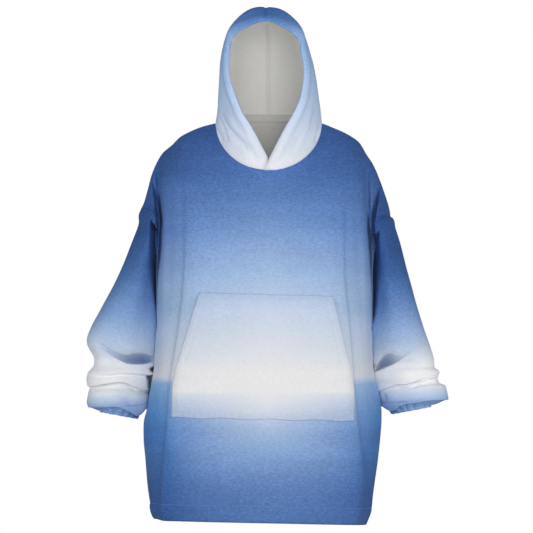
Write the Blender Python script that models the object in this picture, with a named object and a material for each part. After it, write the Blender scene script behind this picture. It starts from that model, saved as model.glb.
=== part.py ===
# Oversized pullover hoodie of brushed fleece, held as it hangs when filled out.
# Front is -Y, up is +Z. The origin is at the neck, level with the shoulder line.
import math

import bpy
import numpy as np

# Cloth and seams
WALL = 0.003
SEAM_GAP = 0.0004
TAPE_WALL = 0.0012

# Body
HEM_LEFT_Z = -0.899
HEM_RIGHT_Z = -0.911
FRONT_DEPTH = 0.176
BACK_DEPTH = 0.172
UNDERARM_Z = -0.268
CREST_Y = -0.010

# Neck seam, an oval that drops at the front
NECK_X = 0.0065
NECK_HALF_WIDTH = 0.124
NECK_HALF_DEPTH = 0.105
NECK_SIDE_Z = 0.024
NECK_FRONT_DROP = 0.106
NECK_BACK_RISE = 0.010
NECK_U = 0.36
LAP_SHIFT = 0.0065
LAP_LIFT = 0.0016

# Armhole seam
ARMHOLE_HALF_DEPTH = 0.088
ARMHOLE_BOW_X = 0.018
ARMHOLE_BOW_Z = 0.012
ARM_U = 0.78

# Fold between the chest and the upper arm: place at the shoulder, share of depth left in it
FOLD_TOP_U = 0.80
FOLD_FLOOR = 0.30

# Sleeves hang this far behind the side seams
SLEEVE_SET_BACK = 0.040

# Gathers round each elastic cuff
CUFF_GATHERS = 16
GATHER_DEPTH = 0.0016

# Pocket, laid on the front panel
POCKET_GAP = 0.0024
POCKET_TOP_Z = -0.371
POCKET_BOTTOM_Z = -0.661

# Neck tape over the back neck seam
TAPE_HEIGHT = 0.018
TAPE_GAP = 0.0006
TAPE_STEPS = 3

# Mesh
SHOULDER_STEPS = 8
BACK_SHOULDER_STEPS = 6
FRONT_NECK_STEPS = 6
BACK_NECK_STEPS = 5
UPPER_ROWS = 11
LOWER_ROWS = 12
SLEEVE_AROUND = 20
SLEEVE_ROWS = 19
HOOD_ROWS = 17

# Shoulder line from the neck to the armhole, wearer's right: x, z in mm
SHOULDER_RIGHT = [
    (-117.5, 24.0),
    (-153.8, 16.3),
    (-179.4, 7.0),
    (-200.4, -4.7),
    (-219.0, -23.3),
    (-241.0, -42.0),
    (-254.0, -62.9),
    (-265.6, -89.7),
    (-275.9, -127.0),
    (-286.0, -161.0),
    (-294.7, -177.1),
]

# Shoulder line from the neck to the armhole, wearer's left: x, z in mm
SHOULDER_LEFT = [
    (130.5, 24.0),
    (158.0, 14.5),
    (177.0, 8.5),
    (195.7, -1.4),
    (217.6, -17.5),
    (233.7, -44.3),
    (249.3, -67.6),
    (265.6, -104.9),
    (278.0, -139.8),
    (286.0, -165.0),
    (291.3, -188.7),
]

# Side seams: height, right side x, left side x in mm
SIDE_SEAMS = [
    (-268.0, -256.3, 254.0),
    (-310.0, -256.8, 250.6),
    (-385.0, -257.4, 249.8),
    (-461.0, -258.2, 249.8),
    (-510.0, -261.0, 250.0),
    (-543.0, -262.4, 251.6),
    (-576.0, -268.0, 257.0),
    (-608.0, -274.0, 266.0),
    (-640.0, -279.0, 270.4),
    (-664.0, -285.4, 270.6),
    (-701.0, -286.6, 268.0),
    (-757.0, -282.0, 262.0),
    (-813.0, -277.3, 254.0),
    (-850.0, -272.6, 249.3),
    (-876.0, -271.0, 248.0),
    (-904.0, -264.0, 241.0),
]

# Body depth by height: height, front depth, back depth as shares
BODY_DEPTHS = [
    (-268.0, 0.95, 0.97),
    (-360.0, 1.0, 0.98),
    (-500.0, 1.01, 0.96),
    (-650.0, 1.04, 0.98),
    (-780.0, 1.02, 1.0),
    (-904.0, 0.96, 0.97),
]

# Crease where the front turns to the side: height, share of half width
CREASES = [
    (-268.0, 0.740),
    (-350.0, 0.745),
    (-450.0, 0.775),
    (-550.0, 0.815),
    (-680.0, 0.800),
    (-800.0, 0.865),
    (-904.0, 0.905),
]
SECTION_CREASE = 0.752

# Cross-section of the front: position across, share of half width, share of depth
FRONT_SECTION = [
    (0.0, 0.0, 1.0),
    (0.2, 0.25, 0.994),
    (0.4, 0.49, 0.968),
    (0.55, 0.655, 0.918),
    (0.66, 0.752, 0.845),
    (0.76, 0.83, 0.69),
    (0.88, 0.93, 0.40),
    (1.0, 1.0, 0.0),
]

# Cross-section of the back: position across, share of half width, share of depth
BACK_SECTION = [
    (0.0, 0.0, 1.0),
    (0.2, 0.25, 0.985),
    (0.4, 0.49, 0.935),
    (0.6, 0.70, 0.82),
    (0.75, 0.84, 0.65),
    (0.88, 0.945, 0.39),
    (1.0, 1.0, 0.0),
]

# Wearer's right sleeve: outer x, outer z, inner x, inner z, half depth in mm
SLEEVE_RIGHT = [
    (-294.7, -177.1, -256.3, -268.0, 88.0),
    (-296.9, -207.4, -257.6, -286.6, 88.0),
    (-313.4, -252.8, -259.6, -309.9, 88.0),
    (-335.5, -305.2, -255.0, -347.2, 87.0),
    (-361.2, -361.2, -255.0, -382.1, 85.0),
    (-386.8, -410.1, -254.5, -417.1, 83.0),
    (-407.8, -447.4, -254.5, -449.7, 81.0),
    (-418.0, -480.0, -255.4, -480.0, 80.0),
    (-411.9, -501.0, -258.5, -501.0, 76.0),
    (-401.5, -521.9, -260.8, -521.9, 69.0),
    (-402.6, -538.2, -262.4, -535.9, 71.0),
    (-416.4, -556.9, -263.8, -549.9, 77.0),
    (-418.0, -570.9, -266.6, -566.2, 78.0),
    (-413.3, -587.2, -270.0, -587.2, 71.0),
    (-414.7, -601.1, -272.4, -598.8, 75.0),
    (-414.3, -619.8, -275.4, -615.1, 73.0),
    (-408.9, -631.4, -278.5, -626.8, 64.0),
]

# Wearer's left sleeve: outer x, outer z, inner x, inner z, half depth in mm
SLEEVE_LEFT = [
    (291.3, -188.7, 254.0, -272.6, 88.0),
    (298.2, -202.7, 255.0, -288.9, 88.0),
    (311.1, -247.0, 254.6, -314.6, 88.0),
    (327.6, -309.9, 247.6, -351.8, 87.0),
    (342.5, -363.5, 247.2, -386.8, 85.0),
    (355.3, -407.8, 247.0, -419.4, 83.0),
    (368.1, -452.0, 247.0, -454.4, 81.0),
    (382.1, -491.6, 247.0, -487.0, 79.0),
    (391.4, -521.9, 249.2, -510.3, 76.0),
    (393.3, -541.7, 251.2, -528.9, 70.0),
    (402.1, -549.9, 253.0, -547.6, 74.0),
    (404.5, -568.5, 256.0, -566.2, 75.0),
    (406.6, -576.7, 259.0, -580.2, 70.0),
    (419.4, -583.7, 263.0, -596.5, 74.0),
    (421.7, -598.8, 268.4, -610.5, 73.0),
    (419.4, -614.0, 271.2, -622.1, 66.0),
]

# Cuffs: outer x, outer z, inner x, inner z, half depth in mm
CUFF_RIGHT = [
    (-408.9, -632.1, -278.5, -627.5, 64.0),
    (-397.0, -641.0, -283.0, -638.0, 59.0),
    (-390.0, -647.5, -286.5, -648.5, 56.0),
    (-386.0, -653.0, -288.5, -659.0, 53.0),
]
CUFF_LEFT = [
    (419.4, -614.7, 271.2, -622.8, 66.0),
    (400.0, -622.0, 274.5, -631.0, 60.0),
    (389.0, -630.0, 278.0, -640.0, 56.0),
    (384.0, -638.0, 281.0, -648.0, 53.0),
]

# Hood by row: row, half width, edge x, edge y, edge z, seam y, seam z in mm
HOOD_RIGHT = [
    (0.0, 124.0, -12.0, -115.0, -82.0, 95.0, 34.0),
    (0.1, 121.0, 8.0, -120.0, -43.0, 108.0, 52.0),
    (0.2, 119.0, 33.0, -123.0, 12.0, 118.0, 78.0),
    (0.3, 117.5, 53.0, -122.0, 49.0, 126.0, 108.0),
    (0.42, 114.5, 74.0, -119.0, 96.0, 131.0, 150.0),
    (0.55, 110.0, 88.0, -115.0, 138.0, 124.0, 198.0),
    (0.68, 106.0, 90.5, -111.0, 167.0, 98.0, 245.0),
    (0.8, 98.0, 89.5, -108.0, 195.0, 50.0, 283.0),
    (0.91, 91.5, 87.4, -105.0, 217.0, -20.0, 298.0),
    (1.0, 80.5, 80.4, -101.0, 231.0, -93.0, 266.0),
]
HOOD_LEFT = [
    (0.0, 124.0, -11.0, -115.0, -82.0, 95.0, 34.0),
    (0.1, 122.0, 8.0, -120.0, -43.0, 108.0, 52.0),
    (0.2, 120.5, 36.0, -123.0, 12.0, 118.0, 78.0),
    (0.3, 119.0, 53.5, -122.0, 46.0, 126.0, 108.0),
    (0.42, 116.0, 71.0, -119.0, 82.0, 131.0, 150.0),
    (0.55, 110.5, 82.0, -115.0, 125.0, 124.0, 198.0),
    (0.68, 104.0, 84.5, -111.0, 158.0, 98.0, 245.0),
    (0.8, 93.0, 82.0, -108.0, 190.0, 50.0, 283.0),
    (0.91, 85.0, 79.0, -105.0, 212.0, -20.0, 298.0),
    (1.0, 75.0, 74.9, -101.0, 224.0, -93.0, 266.0),
]

# Pocket outline: share down, right edge x, left edge x in mm
POCKET_EDGES = [
    (0.0, -154.0, 154.0),
    (0.6, -207.0, 196.0),
    (0.66, -213.0, 201.0),
    (1.0, -219.0, 205.0),
]


def unit(vectors):
    length = np.linalg.norm(vectors, axis=-1, keepdims=True)
    return vectors / np.maximum(length, 1e-12)


def smooth_step(low, high, value):
    share = np.clip((value - low) / (high - low), 0.0, 1.0)
    return share * share * (3.0 - 2.0 * share)


def tangents(keys, values):
    """Slopes of a smooth curve through a table, flat where it turns."""
    steps = np.diff(keys)[:, None]
    slopes = np.diff(values, axis=0) / steps
    inner = 0.5 * (slopes[:-1] + slopes[1:])
    inner = np.where(slopes[:-1] * slopes[1:] <= 0.0, 0.0, inner)
    return np.concatenate([slopes[:1], inner, slopes[-1:]])


def follow(keys, values, at):
    """Values of a table at the given keys, on a smooth curve."""
    keys = np.asarray(keys, float)
    values = np.asarray(values, float)
    at = np.asarray(at, float)
    slopes = tangents(keys, values)
    index = np.clip(np.searchsorted(keys, at, side="right") - 1, 0, len(keys) - 2)
    step = keys[index + 1] - keys[index]
    share = np.clip((at - keys[index]) / step, 0.0, 1.0)[..., None]
    step = step[..., None]
    square, cube = share**2, share**3
    return (
        (2 * cube - 3 * square + 1) * values[index]
        + (cube - 2 * square + share) * step * slopes[index]
        + (3 * square - 2 * cube) * values[index + 1]
        + (cube - square) * step * slopes[index + 1]
    )


def by_column(table, at, scale=0.001):
    """A table whose first column is the key, read at the given keys."""
    table = np.array(table, float)
    return follow(table[:, 0], table[:, 1:] * scale, at)


def by_length(table, at):
    """A table of points, read at shares of its length."""
    table = np.array(table, float) * 0.001
    gaps = np.linalg.norm(np.diff(table[:, :2], axis=0), axis=1)
    keys = np.concatenate([[0.0], np.cumsum(gaps)])
    return follow(keys / keys[-1], table, at)


def neck_ring(angle):
    """Points of the neck seam: 0 is the front, positive towards the wearer's left."""
    rise = np.where(np.cos(angle) > 0, -NECK_FRONT_DROP, -NECK_BACK_RISE) * np.cos(angle)
    return np.stack(
        [
            NECK_X + NECK_HALF_WIDTH * np.sin(angle),
            CREST_Y - NECK_HALF_DEPTH * np.cos(angle),
            NECK_SIDE_Z + rise,
        ],
        axis=-1,
    )


def neck_normal(angle):
    side = np.abs(np.sin(angle))
    return unit(
        np.stack(
            [0.8 * np.sin(angle), -0.9 * np.cos(angle), 0.2 + 0.5 * side],
            axis=-1,
        )
    )


def armhole_ring(angle, table):
    """Points of the armhole seam: 0 is the shoulder tip, pi the underarm, front between."""
    outer_x, outer_z, inner_x, inner_z, depth = np.array(table[0]) * 0.001
    share = (1.0 - np.cos(angle)) / 2.0
    bulge = np.abs(np.sin(angle)) ** 1.5 * (1.0 + np.cos(angle))
    side = math.copysign(1.0, outer_x)
    return np.stack(
        [
            outer_x + (inner_x - outer_x) * share - side * ARMHOLE_BOW_X * bulge,
            -ARMHOLE_HALF_DEPTH * np.sin(angle),
            outer_z + (inner_z - outer_z) * share + ARMHOLE_BOW_Z * bulge,
        ],
        axis=-1,
    )


def armhole_normal(angle, table):
    side = math.copysign(1.0, table[0][0])
    top = np.maximum(np.cos(angle), 0.0)
    under = np.maximum(-np.cos(angle), 0.0)
    return unit(
        np.stack(
            [
                side * (0.95 * top + 0.1 * under),
                -np.sin(angle),
                0.3 * top - 0.98 * under,
            ],
            axis=-1,
        )
    )


def hem_height(x):
    share = np.clip((x + 0.27) / 0.52, 0.0, 1.0)
    return HEM_LEFT_Z + (HEM_RIGHT_Z - HEM_LEFT_Z) * share


def level_section(across, height, face):
    """x and y of the body at heights below the underarm; face -1 is front, 1 is back."""
    sides = by_column(SIDE_SEAMS[::-1], height * 1000.0)
    depths = by_column(BODY_DEPTHS[::-1], height * 1000.0, 1.0)
    section = FRONT_SECTION if face < 0 else BACK_SECTION
    shares = by_column(section, np.abs(across), 1.0)
    middle = 0.5 * (sides[..., 0] + sides[..., 1])
    half = 0.5 * (sides[..., 1] - sides[..., 0])
    crease = by_column(CREASES[::-1], height * 1000.0, 1.0)[..., 0]
    outer = (shares[..., 0] - SECTION_CREASE) / (1.0 - SECTION_CREASE)
    wide = np.where(
        outer > 0.0,
        crease + outer * (1.0 - crease),
        shares[..., 0] * crease / SECTION_CREASE,
    )
    x = middle + half * np.sign(across) * wide
    if face < 0:
        y = -FRONT_DEPTH * depths[..., 0] * shares[..., 1]
    else:
        y = BACK_DEPTH * depths[..., 1] * shares[..., 1]
    return x, y


def top_edge(across, face):
    """Points of the shoulder line and the neck seam from one armhole to the other."""
    out = np.zeros(across.shape + (3,))
    for i in np.ndindex(across.shape):
        u = across[i]
        if abs(u) < NECK_U + 1e-9:
            turn = 0.5 * math.pi * u / NECK_U
            if face > 0:
                turn = math.pi - turn
            out[i] = neck_ring(np.array(turn))
        else:
            share = (abs(u) - NECK_U) / (1.0 - NECK_U)
            table = SHOULDER_RIGHT if u < 0 else SHOULDER_LEFT
            x, z = by_length(table, np.array(share))
            out[i] = (x, CREST_Y * (1.0 - smooth_step(0.0, 0.8, share)), z)
    return out


def columns_across(neck_steps, shoulder_steps):
    """Column places from one armhole to the other, with one at each end of the neck."""
    shoulder = np.linspace(NECK_U, 1.0, shoulder_steps + 1)
    neck = np.linspace(-NECK_U, NECK_U, 2 * neck_steps + 1)
    return np.concatenate([-shoulder[::-1][:-1], neck, shoulder[1:]])


def body_panel(across, upper_rows, lower_rows, face):
    """Points and outward normals of the front or the back panel, row by row."""
    columns = len(across)
    top = top_edge(across, face)
    level_x, level_y = level_section(across, np.full(columns, UNDERARM_Z), face)
    away = np.abs(across)
    arm = smooth_step(ARM_U, 1.0, away)
    neck = np.cos(0.5 * math.pi * np.clip(across / NECK_U, -1.0, 1.0))
    near_neck = 2.0 if face < 0 else 1.2
    steep = near_neck + (0.9 - near_neck) * smooth_step(NECK_U, 0.8, away)
    section = FRONT_SECTION if face < 0 else BACK_SECTION
    deepest = np.abs(level_y).max()
    rows = []
    for w in np.linspace(0.0, 1.0, upper_rows):
        body_share = 1.0 - math.cos(0.5 * math.pi * w)
        body_share = body_share + 0.5 * neck * (w - body_share)
        ring_share = 0.5 * (1.0 - math.cos(math.pi * w))
        down = (1.0 - arm) * body_share + arm * ring_share
        out = math.sin(0.5 * math.pi * w) ** steep
        bulge = math.sin(math.pi * w) ** 1.5 * (1.0 + math.cos(math.pi * w))
        row = np.zeros((columns, 3))
        row[:, 0] = top[:, 0] * (1.0 - down) + level_x * down
        row[:, 0] -= np.sign(across) * arm * ARMHOLE_BOW_X * bulge
        row[:, 2] = top[:, 2] * (1.0 - down) + UNDERARM_Z * down
        row[:, 2] += arm * ARMHOLE_BOW_Z * bulge
        fold = FOLD_TOP_U + (1.0 - FOLD_TOP_U) * w**1.5
        chest = by_column(section, np.minimum(away / fold, 1.0), 1.0)[:, 1]
        chest = FOLD_FLOOR * (1.0 - w) + (1.0 - FOLD_FLOOR * (1.0 - w)) * chest
        chest = chest * (1.0 - smooth_step(fold, 1.0 + 1e-6, away)) * deepest * out
        reach = np.clip((away - fold + 0.03) / (1.03 - fold), 0.0, 1.0)
        upper_arm = ARMHOLE_HALF_DEPTH * math.sin(math.pi * w) * reach**0.6
        depth = (chest**4 + upper_arm**4) ** 0.25
        row[:, 1] = top[:, 1] * (1.0 - out) + face * depth
        rows.append(row)
    for v in np.linspace(0.0, 1.0, lower_rows + 1)[1:]:
        row = np.zeros((columns, 3))
        hem = hem_height(level_x)
        row[:, 2] = UNDERARM_Z + (hem - UNDERARM_Z) * v
        row[:, 0], row[:, 1] = level_section(across, row[:, 2], face)
        rows.append(row)
    points = np.array(rows)
    normals = grid_normals(points, False)
    return points, normals


def grid_normals(points, closed):
    """Unit normals of a grid of points, by the points beside each one."""
    if closed:
        along = np.roll(points, -1, axis=1) - np.roll(points, 1, axis=1)
    else:
        along = np.gradient(points, axis=1)
    down = np.gradient(points, axis=0)
    return unit(np.cross(along, down))


def shell(name, points, normals, wall, colour, closed=False):
    """One closed wall of cloth between a grid of points and the same grid moved in."""
    rows, columns = points.shape[:2]
    outer = points.reshape(-1, 3)
    inner = (points - normals * wall).reshape(-1, 3)
    count = rows * columns
    faces = []
    last = columns if closed else columns - 1
    for i in range(rows - 1):
        for j in range(last):
            k = (j + 1) % columns
            a, b = i * columns + j, i * columns + k
            c, d = (i + 1) * columns + k, (i + 1) * columns + j
            faces.append((a, b, c, d))
            faces.append((d + count, c + count, b + count, a + count))
    for j in range(last):
        k = (j + 1) % columns
        bottom = (rows - 1) * columns
        faces.append((j, j + count, k + count, k))
        faces.append((bottom + k, bottom + k + count, bottom + j + count, bottom + j))
    if not closed:
        for i in range(rows - 1):
            a, b = i * columns, (i + 1) * columns
            c, d = a + columns - 1, b + columns - 1
            faces.append((a, b, b + count, a + count))
            faces.append((c, c + count, d + count, d))
    mesh = bpy.data.meshes.new(name)
    mesh.from_pydata(np.concatenate([outer, inner]).tolist(), [], faces)
    if signed_volume(mesh) < 0:
        mesh.flip_normals()
    mesh.shade_smooth()
    mesh.update()
    mesh.materials.append(cloth_material(name, colour))
    thing = bpy.data.objects.new(name, mesh)
    bpy.context.scene.collection.objects.link(thing)
    return thing


def signed_volume(mesh):
    mesh.calc_loop_triangles()
    total = 0.0
    for triangle in mesh.loop_triangles:
        a, b, c = (mesh.vertices[i].co for i in triangle.vertices)
        total += a.dot(b.cross(c))
    return total


def cloth_material(name, colour):
    material = bpy.data.materials.new(name)
    material.use_nodes = True
    shader = material.node_tree.nodes["Principled BSDF"]
    shader.inputs["Base Color"].default_value = (*colour, 1.0)
    shader.inputs["Roughness"].default_value = 0.9
    return material


def make_body():
    for face, name, neck_steps, shoulder_steps, colour in (
        (-1, "front", FRONT_NECK_STEPS, SHOULDER_STEPS, (0.20, 0.36, 0.64)),
        (1, "back", BACK_NECK_STEPS, BACK_SHOULDER_STEPS, (0.18, 0.33, 0.60)),
    ):
        across = columns_across(neck_steps, shoulder_steps)
        points, normals = body_panel(across, UPPER_ROWS, LOWER_ROWS, face)
        normals *= face
        top = np.abs(across) < NECK_U + 1e-9
        angle = 0.5 * math.pi * across / NECK_U
        if face > 0:
            angle = math.pi - angle
        normals[0, top] = neck_normal(angle)[top]
        shoulder = ~top
        normals[0, shoulder, 1] = 0.0
        normals[0] = unit(normals[0])
        for column, table in ((0, SLEEVE_RIGHT), (-1, SLEEVE_LEFT)):
            turn = np.linspace(0.0, math.pi, UPPER_ROWS)
            ring = armhole_normal(turn, table)
            ring[:, 1] *= -face
            normals[:UPPER_ROWS, column] = ring
            normals[UPPER_ROWS:, column, 1] = 0.0
            normals[UPPER_ROWS:, column] = unit(normals[UPPER_ROWS:, column])
        points[..., 1] += face * 0.5 * SEAM_GAP
        shell(name, points, normals, WALL, colour)


def tube(table, angles, rows, start, end, back):
    """Rings of a sleeve or cuff, each an oval between its outer and inner points."""
    key = np.linspace(start, end, rows)
    values = follow(np.arange(len(table)), np.array(table) * 0.001, key)
    outer_x, outer_z, inner_x, inner_z, depth = (values[:, i : i + 1] for i in range(5))
    share = (1.0 - np.cos(angles)) / 2.0
    return np.stack(
        [
            outer_x + (inner_x - outer_x) * share,
            back[:, None] - depth * np.sin(angles),
            outer_z + (inner_z - outer_z) * share,
        ],
        axis=-1,
    )


def flat_rim(normals, row):
    """Normals at a ring, turned into the plane of the ring, so that two rims can meet."""
    chord = np.array([row[2] - row[0], 0.0, row[3] - row[1]])
    axis = unit(np.array([-chord[2], 0.0, chord[0]]))
    return unit(normals - (normals @ axis)[:, None] * axis)


def make_sleeve(name, table, colour):
    side = math.copysign(1.0, table[0][0])
    angles = np.linspace(0.0, 2.0 * math.pi, SLEEVE_AROUND, endpoint=False)
    key = np.linspace(0.0, len(table) - 1.0, SLEEVE_ROWS)
    back = SLEEVE_SET_BACK * smooth_step(0.5, 4.0, key)
    points = tube(table, angles, SLEEVE_ROWS, 0.0, len(table) - 1.0, back)
    seam = armhole_ring(angles, table)
    drift = seam - points[0]
    fade = 1.0 - smooth_step(0.0, 2.5, key)
    points = points + drift * fade[:, None, None]
    normals = grid_normals(points, True) * side
    normals[0] = armhole_normal(angles, table)
    normals[-1] = flat_rim(normals[-1], table[-1])
    chord = np.array([table[0][2] - table[0][0], table[0][3] - table[0][1]])
    chord /= np.linalg.norm(chord)
    away = np.array([side * abs(chord[1]), 0.0, -abs(chord[0])])
    points[0] += away * SEAM_GAP * 3.0
    shell(name, points, normals, WALL, colour, closed=True)


def make_cuff(name, table, colour):
    side = math.copysign(1.0, table[0][0])
    angles = np.linspace(0.0, 2.0 * math.pi, 2 * CUFF_GATHERS, endpoint=False)
    back = np.full(4, SLEEVE_SET_BACK)
    points = tube(table, angles, 4, 0.0, len(table) - 1.0, back)
    normals = grid_normals(points, True) * side
    normals[0] = flat_rim(normals[0], table[0])
    wave = np.where(np.arange(2 * CUFF_GATHERS) % 2 == 0, 1.0, -1.0)
    depth = GATHER_DEPTH * np.array([0.0, 1.0, 1.0, 0.7])
    points = points + normals * (wave[None, :] * depth[:, None])[..., None]
    shell(name, points, normals, WALL, colour, closed=True)


def hood_half(side, rows, front_steps, back_steps):
    """Points of one hood half, from the face edge to the centre seam, row by row."""
    table = HOOD_LEFT if side > 0 else HOOD_RIGHT
    row = np.linspace(0.0, 1.0, rows)
    quarter = 0.5 * math.pi
    wide, edge_x, edge_y, edge_z, seam_y, seam_z = by_column(table, row).T
    start = np.arcsin(np.clip(edge_x / wide, -1.0, 1.0))
    front = np.linspace(0.0, quarter, front_steps + 1)
    rear = np.linspace(quarter, math.pi, back_steps + 1)
    seam = np.concatenate([start[:1], front[1:], rear[1:]])
    share = (seam - start[0]) / (math.pi - start[0])
    columns = len(share)
    angle = start[:, None] + (math.pi - start[:, None]) * share
    back = (np.cos(start)[:, None] - np.cos(angle)) / (np.cos(start)[:, None] + 1.0)
    ring = neck_ring(angle)
    first, last = neck_ring(start)[:, None, :], neck_ring(np.array(math.pi))
    shape = (ring - first - (last - first) * back[..., None]) * 1.0
    keep = (1.0 - smooth_step(0.0, 0.4, row))[:, None]
    points = np.zeros((rows, columns, 3))
    crown = 1.0 - 0.30 * (smooth_step(0.55, 0.85, row)[:, None]) * smooth_step(0.1, 1.0, back)
    points[..., 0] = NECK_X * (1.0 - 0.9 * row[:, None])
    points[..., 0] += side * wide[:, None] * np.sin(angle) * crown
    points[..., 1] = edge_y[:, None] + (seam_y - edge_y)[:, None] * back + keep * shape[..., 1]
    points[..., 2] = edge_z[:, None] + (seam_z - edge_z)[:, None] * back + keep * shape[..., 2]
    return angle, points


def make_hood_half(name, side, colour):
    angle, points = hood_half(side, HOOD_ROWS, FRONT_NECK_STEPS, BACK_NECK_STEPS)
    normals = grid_normals(points, False)
    normals *= side
    seam = neck_normal(angle[0])
    seam[:, 0] *= side
    normals[0] = seam
    normals[:, -1, 0] = 0.0
    normals[:, -1] = unit(normals[:, -1])
    points[:, -1, 0] += side * 0.5 * SEAM_GAP
    points[0, :, 2] += 2.5 * SEAM_GAP
    points[0, 0, 2] += LAP_LIFT
    if side < 0:
        low = 1.0 - smooth_step(0.06, 0.16, np.linspace(0.0, 1.0, HOOD_ROWS))
        under = 1.0 - smooth_step(0.1, 0.5, angle)
        points[..., 1] += LAP_SHIFT * low[:, None] * under
    shell(name, points, normals, WALL, colour)


def make_pocket():
    rows, columns = 9, 13
    share = np.linspace(0.0, 1.0, rows)
    edges = by_column(POCKET_EDGES, share)
    across = np.linspace(0.0, 1.0, columns)
    x = edges[:, :1] + (edges[:, 1:] - edges[:, :1]) * across
    z = (POCKET_TOP_Z + (POCKET_BOTTOM_Z - POCKET_TOP_Z) * share)[:, None]
    z = z - 0.004 * (across - 0.5)[None, :] * 2.0
    fine = np.linspace(-1.0, 1.0, 401)
    points = np.zeros((rows, columns, 3))
    for i in range(rows):
        for j in range(columns):
            xs, ys = level_section(fine, np.full(401, z[i, j]), -1)
            y = np.interp(x[i, j], xs, ys)
            points[i, j] = (x[i, j], y, z[i, j])
    normals = -grid_normals(points, False)
    if normals[0, 0, 1] > 0:
        normals = -normals
    points = points + normals * (POCKET_GAP + WALL)
    shell("pocket", points, normals, WALL, (0.62, 0.68, 0.78))


def make_neck_tape():
    columns = 2 * TAPE_STEPS + 1
    reach = 0.5 * math.pi * TAPE_STEPS / BACK_NECK_STEPS
    angle = np.linspace(math.pi - reach, math.pi + reach, columns)
    low = neck_ring(angle)
    inward = unit(np.stack([-np.sin(angle), np.cos(angle), 0.0 * angle], axis=-1))
    points = np.zeros((4, columns, 3))
    for i, rise in enumerate(np.linspace(-0.003, TAPE_HEIGHT - 0.003, 4)):
        points[i] = low + inward * (WALL + TAPE_GAP)
        points[i, :, 2] += rise
    normals = np.broadcast_to(-inward, points.shape).copy()
    shell("neck_tape", points, normals, TAPE_WALL, (0.55, 0.55, 0.53))


for thing in list(bpy.data.objects):
    bpy.data.objects.remove(thing, do_unlink=True)

make_body()
make_sleeve("sleeve_right", SLEEVE_RIGHT, (0.17, 0.30, 0.56))
make_sleeve("sleeve_left", SLEEVE_LEFT, (0.19, 0.33, 0.60))
make_cuff("cuff_right", CUFF_RIGHT, (0.35, 0.50, 0.75))
make_cuff("cuff_left", CUFF_LEFT, (0.30, 0.46, 0.72))
make_hood_half("hood_right", -1, (0.55, 0.68, 0.86))
make_hood_half("hood_left", 1, (0.58, 0.70, 0.87))
make_pocket()
make_neck_tape()
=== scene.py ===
import math

import bpy
import numpy as np
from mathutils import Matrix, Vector


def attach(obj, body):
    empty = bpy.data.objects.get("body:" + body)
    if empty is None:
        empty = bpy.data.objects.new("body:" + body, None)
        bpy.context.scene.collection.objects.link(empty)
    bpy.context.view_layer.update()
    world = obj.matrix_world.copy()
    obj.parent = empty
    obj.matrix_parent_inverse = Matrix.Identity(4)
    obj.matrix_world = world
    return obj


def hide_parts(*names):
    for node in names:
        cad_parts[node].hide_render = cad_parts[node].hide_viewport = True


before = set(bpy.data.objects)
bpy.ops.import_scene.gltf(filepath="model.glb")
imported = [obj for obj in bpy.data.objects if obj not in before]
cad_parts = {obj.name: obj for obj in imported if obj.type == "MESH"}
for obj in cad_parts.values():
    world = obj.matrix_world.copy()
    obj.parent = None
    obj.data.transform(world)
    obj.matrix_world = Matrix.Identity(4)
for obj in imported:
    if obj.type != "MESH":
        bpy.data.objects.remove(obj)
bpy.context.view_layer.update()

# Front and back: two panels of brushed polyester fleece, cut with wide dropped shoulders
# and sewn together at the shoulders and sides. The print runs from deep blue at the
# shoulders to off-white, then steps back to mid blue and deepens to the hem.

# Tables are in mm where they say so, everything else is in metres
MM = 0.001

CLOTH_WALL = 0.003
FRONT_DEPTH = 0.176
BACK_DEPTH = 0.172
UNDERARM_HEIGHT = -0.268
SHOULDER_CREST_Y = -0.010
# Height of the hem at the wearer's right and left, and where it begins to slope
HEM_AT_RIGHT = -0.895
HEM_AT_LEFT = -0.908
HEM_CORNER_X = -0.27
HEM_WIDTH = 0.52
HEM_TURN = 0.040
# How much thicker the cloth is where the hem is turned up
HEM_DOUBLED = 0.0016
# The seams sink this far into the pile, over this width
SEAM_DEPTH = 0.0012
SEAM_WIDTH = 0.005
# Depth and width of the dips at the hem's row of stitches and at its rounded edge
HEM_STITCH_DIP = (0.0013, 0.0035)
HEM_EDGE_DIP = (0.0022, 0.004)
# The turned-up cloth stands a little proud, with small puckers beside the stitches
HEM_PROUD = 0.0008
PUCKER_HEIGHT = 0.0005
PUCKER_PITCH = 0.021
PUCKER_REACH = 0.012

NECK_X = 0.0065
NECK_HALF_WIDTH = 0.124
NECK_HALF_DEPTH = 0.105
NECK_SIDE_HEIGHT = 0.028
NECK_FRONT_DROP = 0.110
NECK_BACK_RISE = 0.006
# Share of a panel's top edge that is neck seam
NECK_SHARE = 0.36
# Rounds and reach of the easing where neck and shoulder seams meet
CORNER_ROUNDS = 60
CORNER_REACH = 0.09

ARMHOLE_HALF_DEPTH = 0.088
ARMHOLE_BOW_X = 0.018
ARMHOLE_BOW_Z = 0.012
# Where a panel begins to be upper arm, and where it folds from chest to arm at the
# shoulder, as shares of its half width
ARM_FROM = 0.78
FOLD_FROM = 0.80
# The cloth is this much thinner over the upper arm, beside the folds
ARM_THINNER = 0.0012
# Least share of the body's depth, over the shoulder
SHOULDER_DEPTH = 0.30
# Two places nearer than this are the same
SAME = 1e-9

# Shoulder line from neck to armhole: x, height in mm
SHOULDER_RIGHT = [
    (-117.5, 28.0), (-153.8, 17.8), (-179.4, 7.0), (-200.4, -4.7), (-219.0, -23.3), (-241.0, -42.0),
    (-254.0, -62.9), (-265.6, -89.7), (-275.9, -127.0), (-286.0, -161.0), (-294.7, -177.1),
]
SHOULDER_LEFT = [
    (130.5, 28.0), (158.0, 16.5), (177.0, 8.5), (195.7, -1.4), (217.6, -17.5), (233.7, -44.3),
    (249.3, -67.6), (265.6, -104.9), (278.0, -139.8), (286.0, -165.0), (291.3, -188.7),
]
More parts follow.
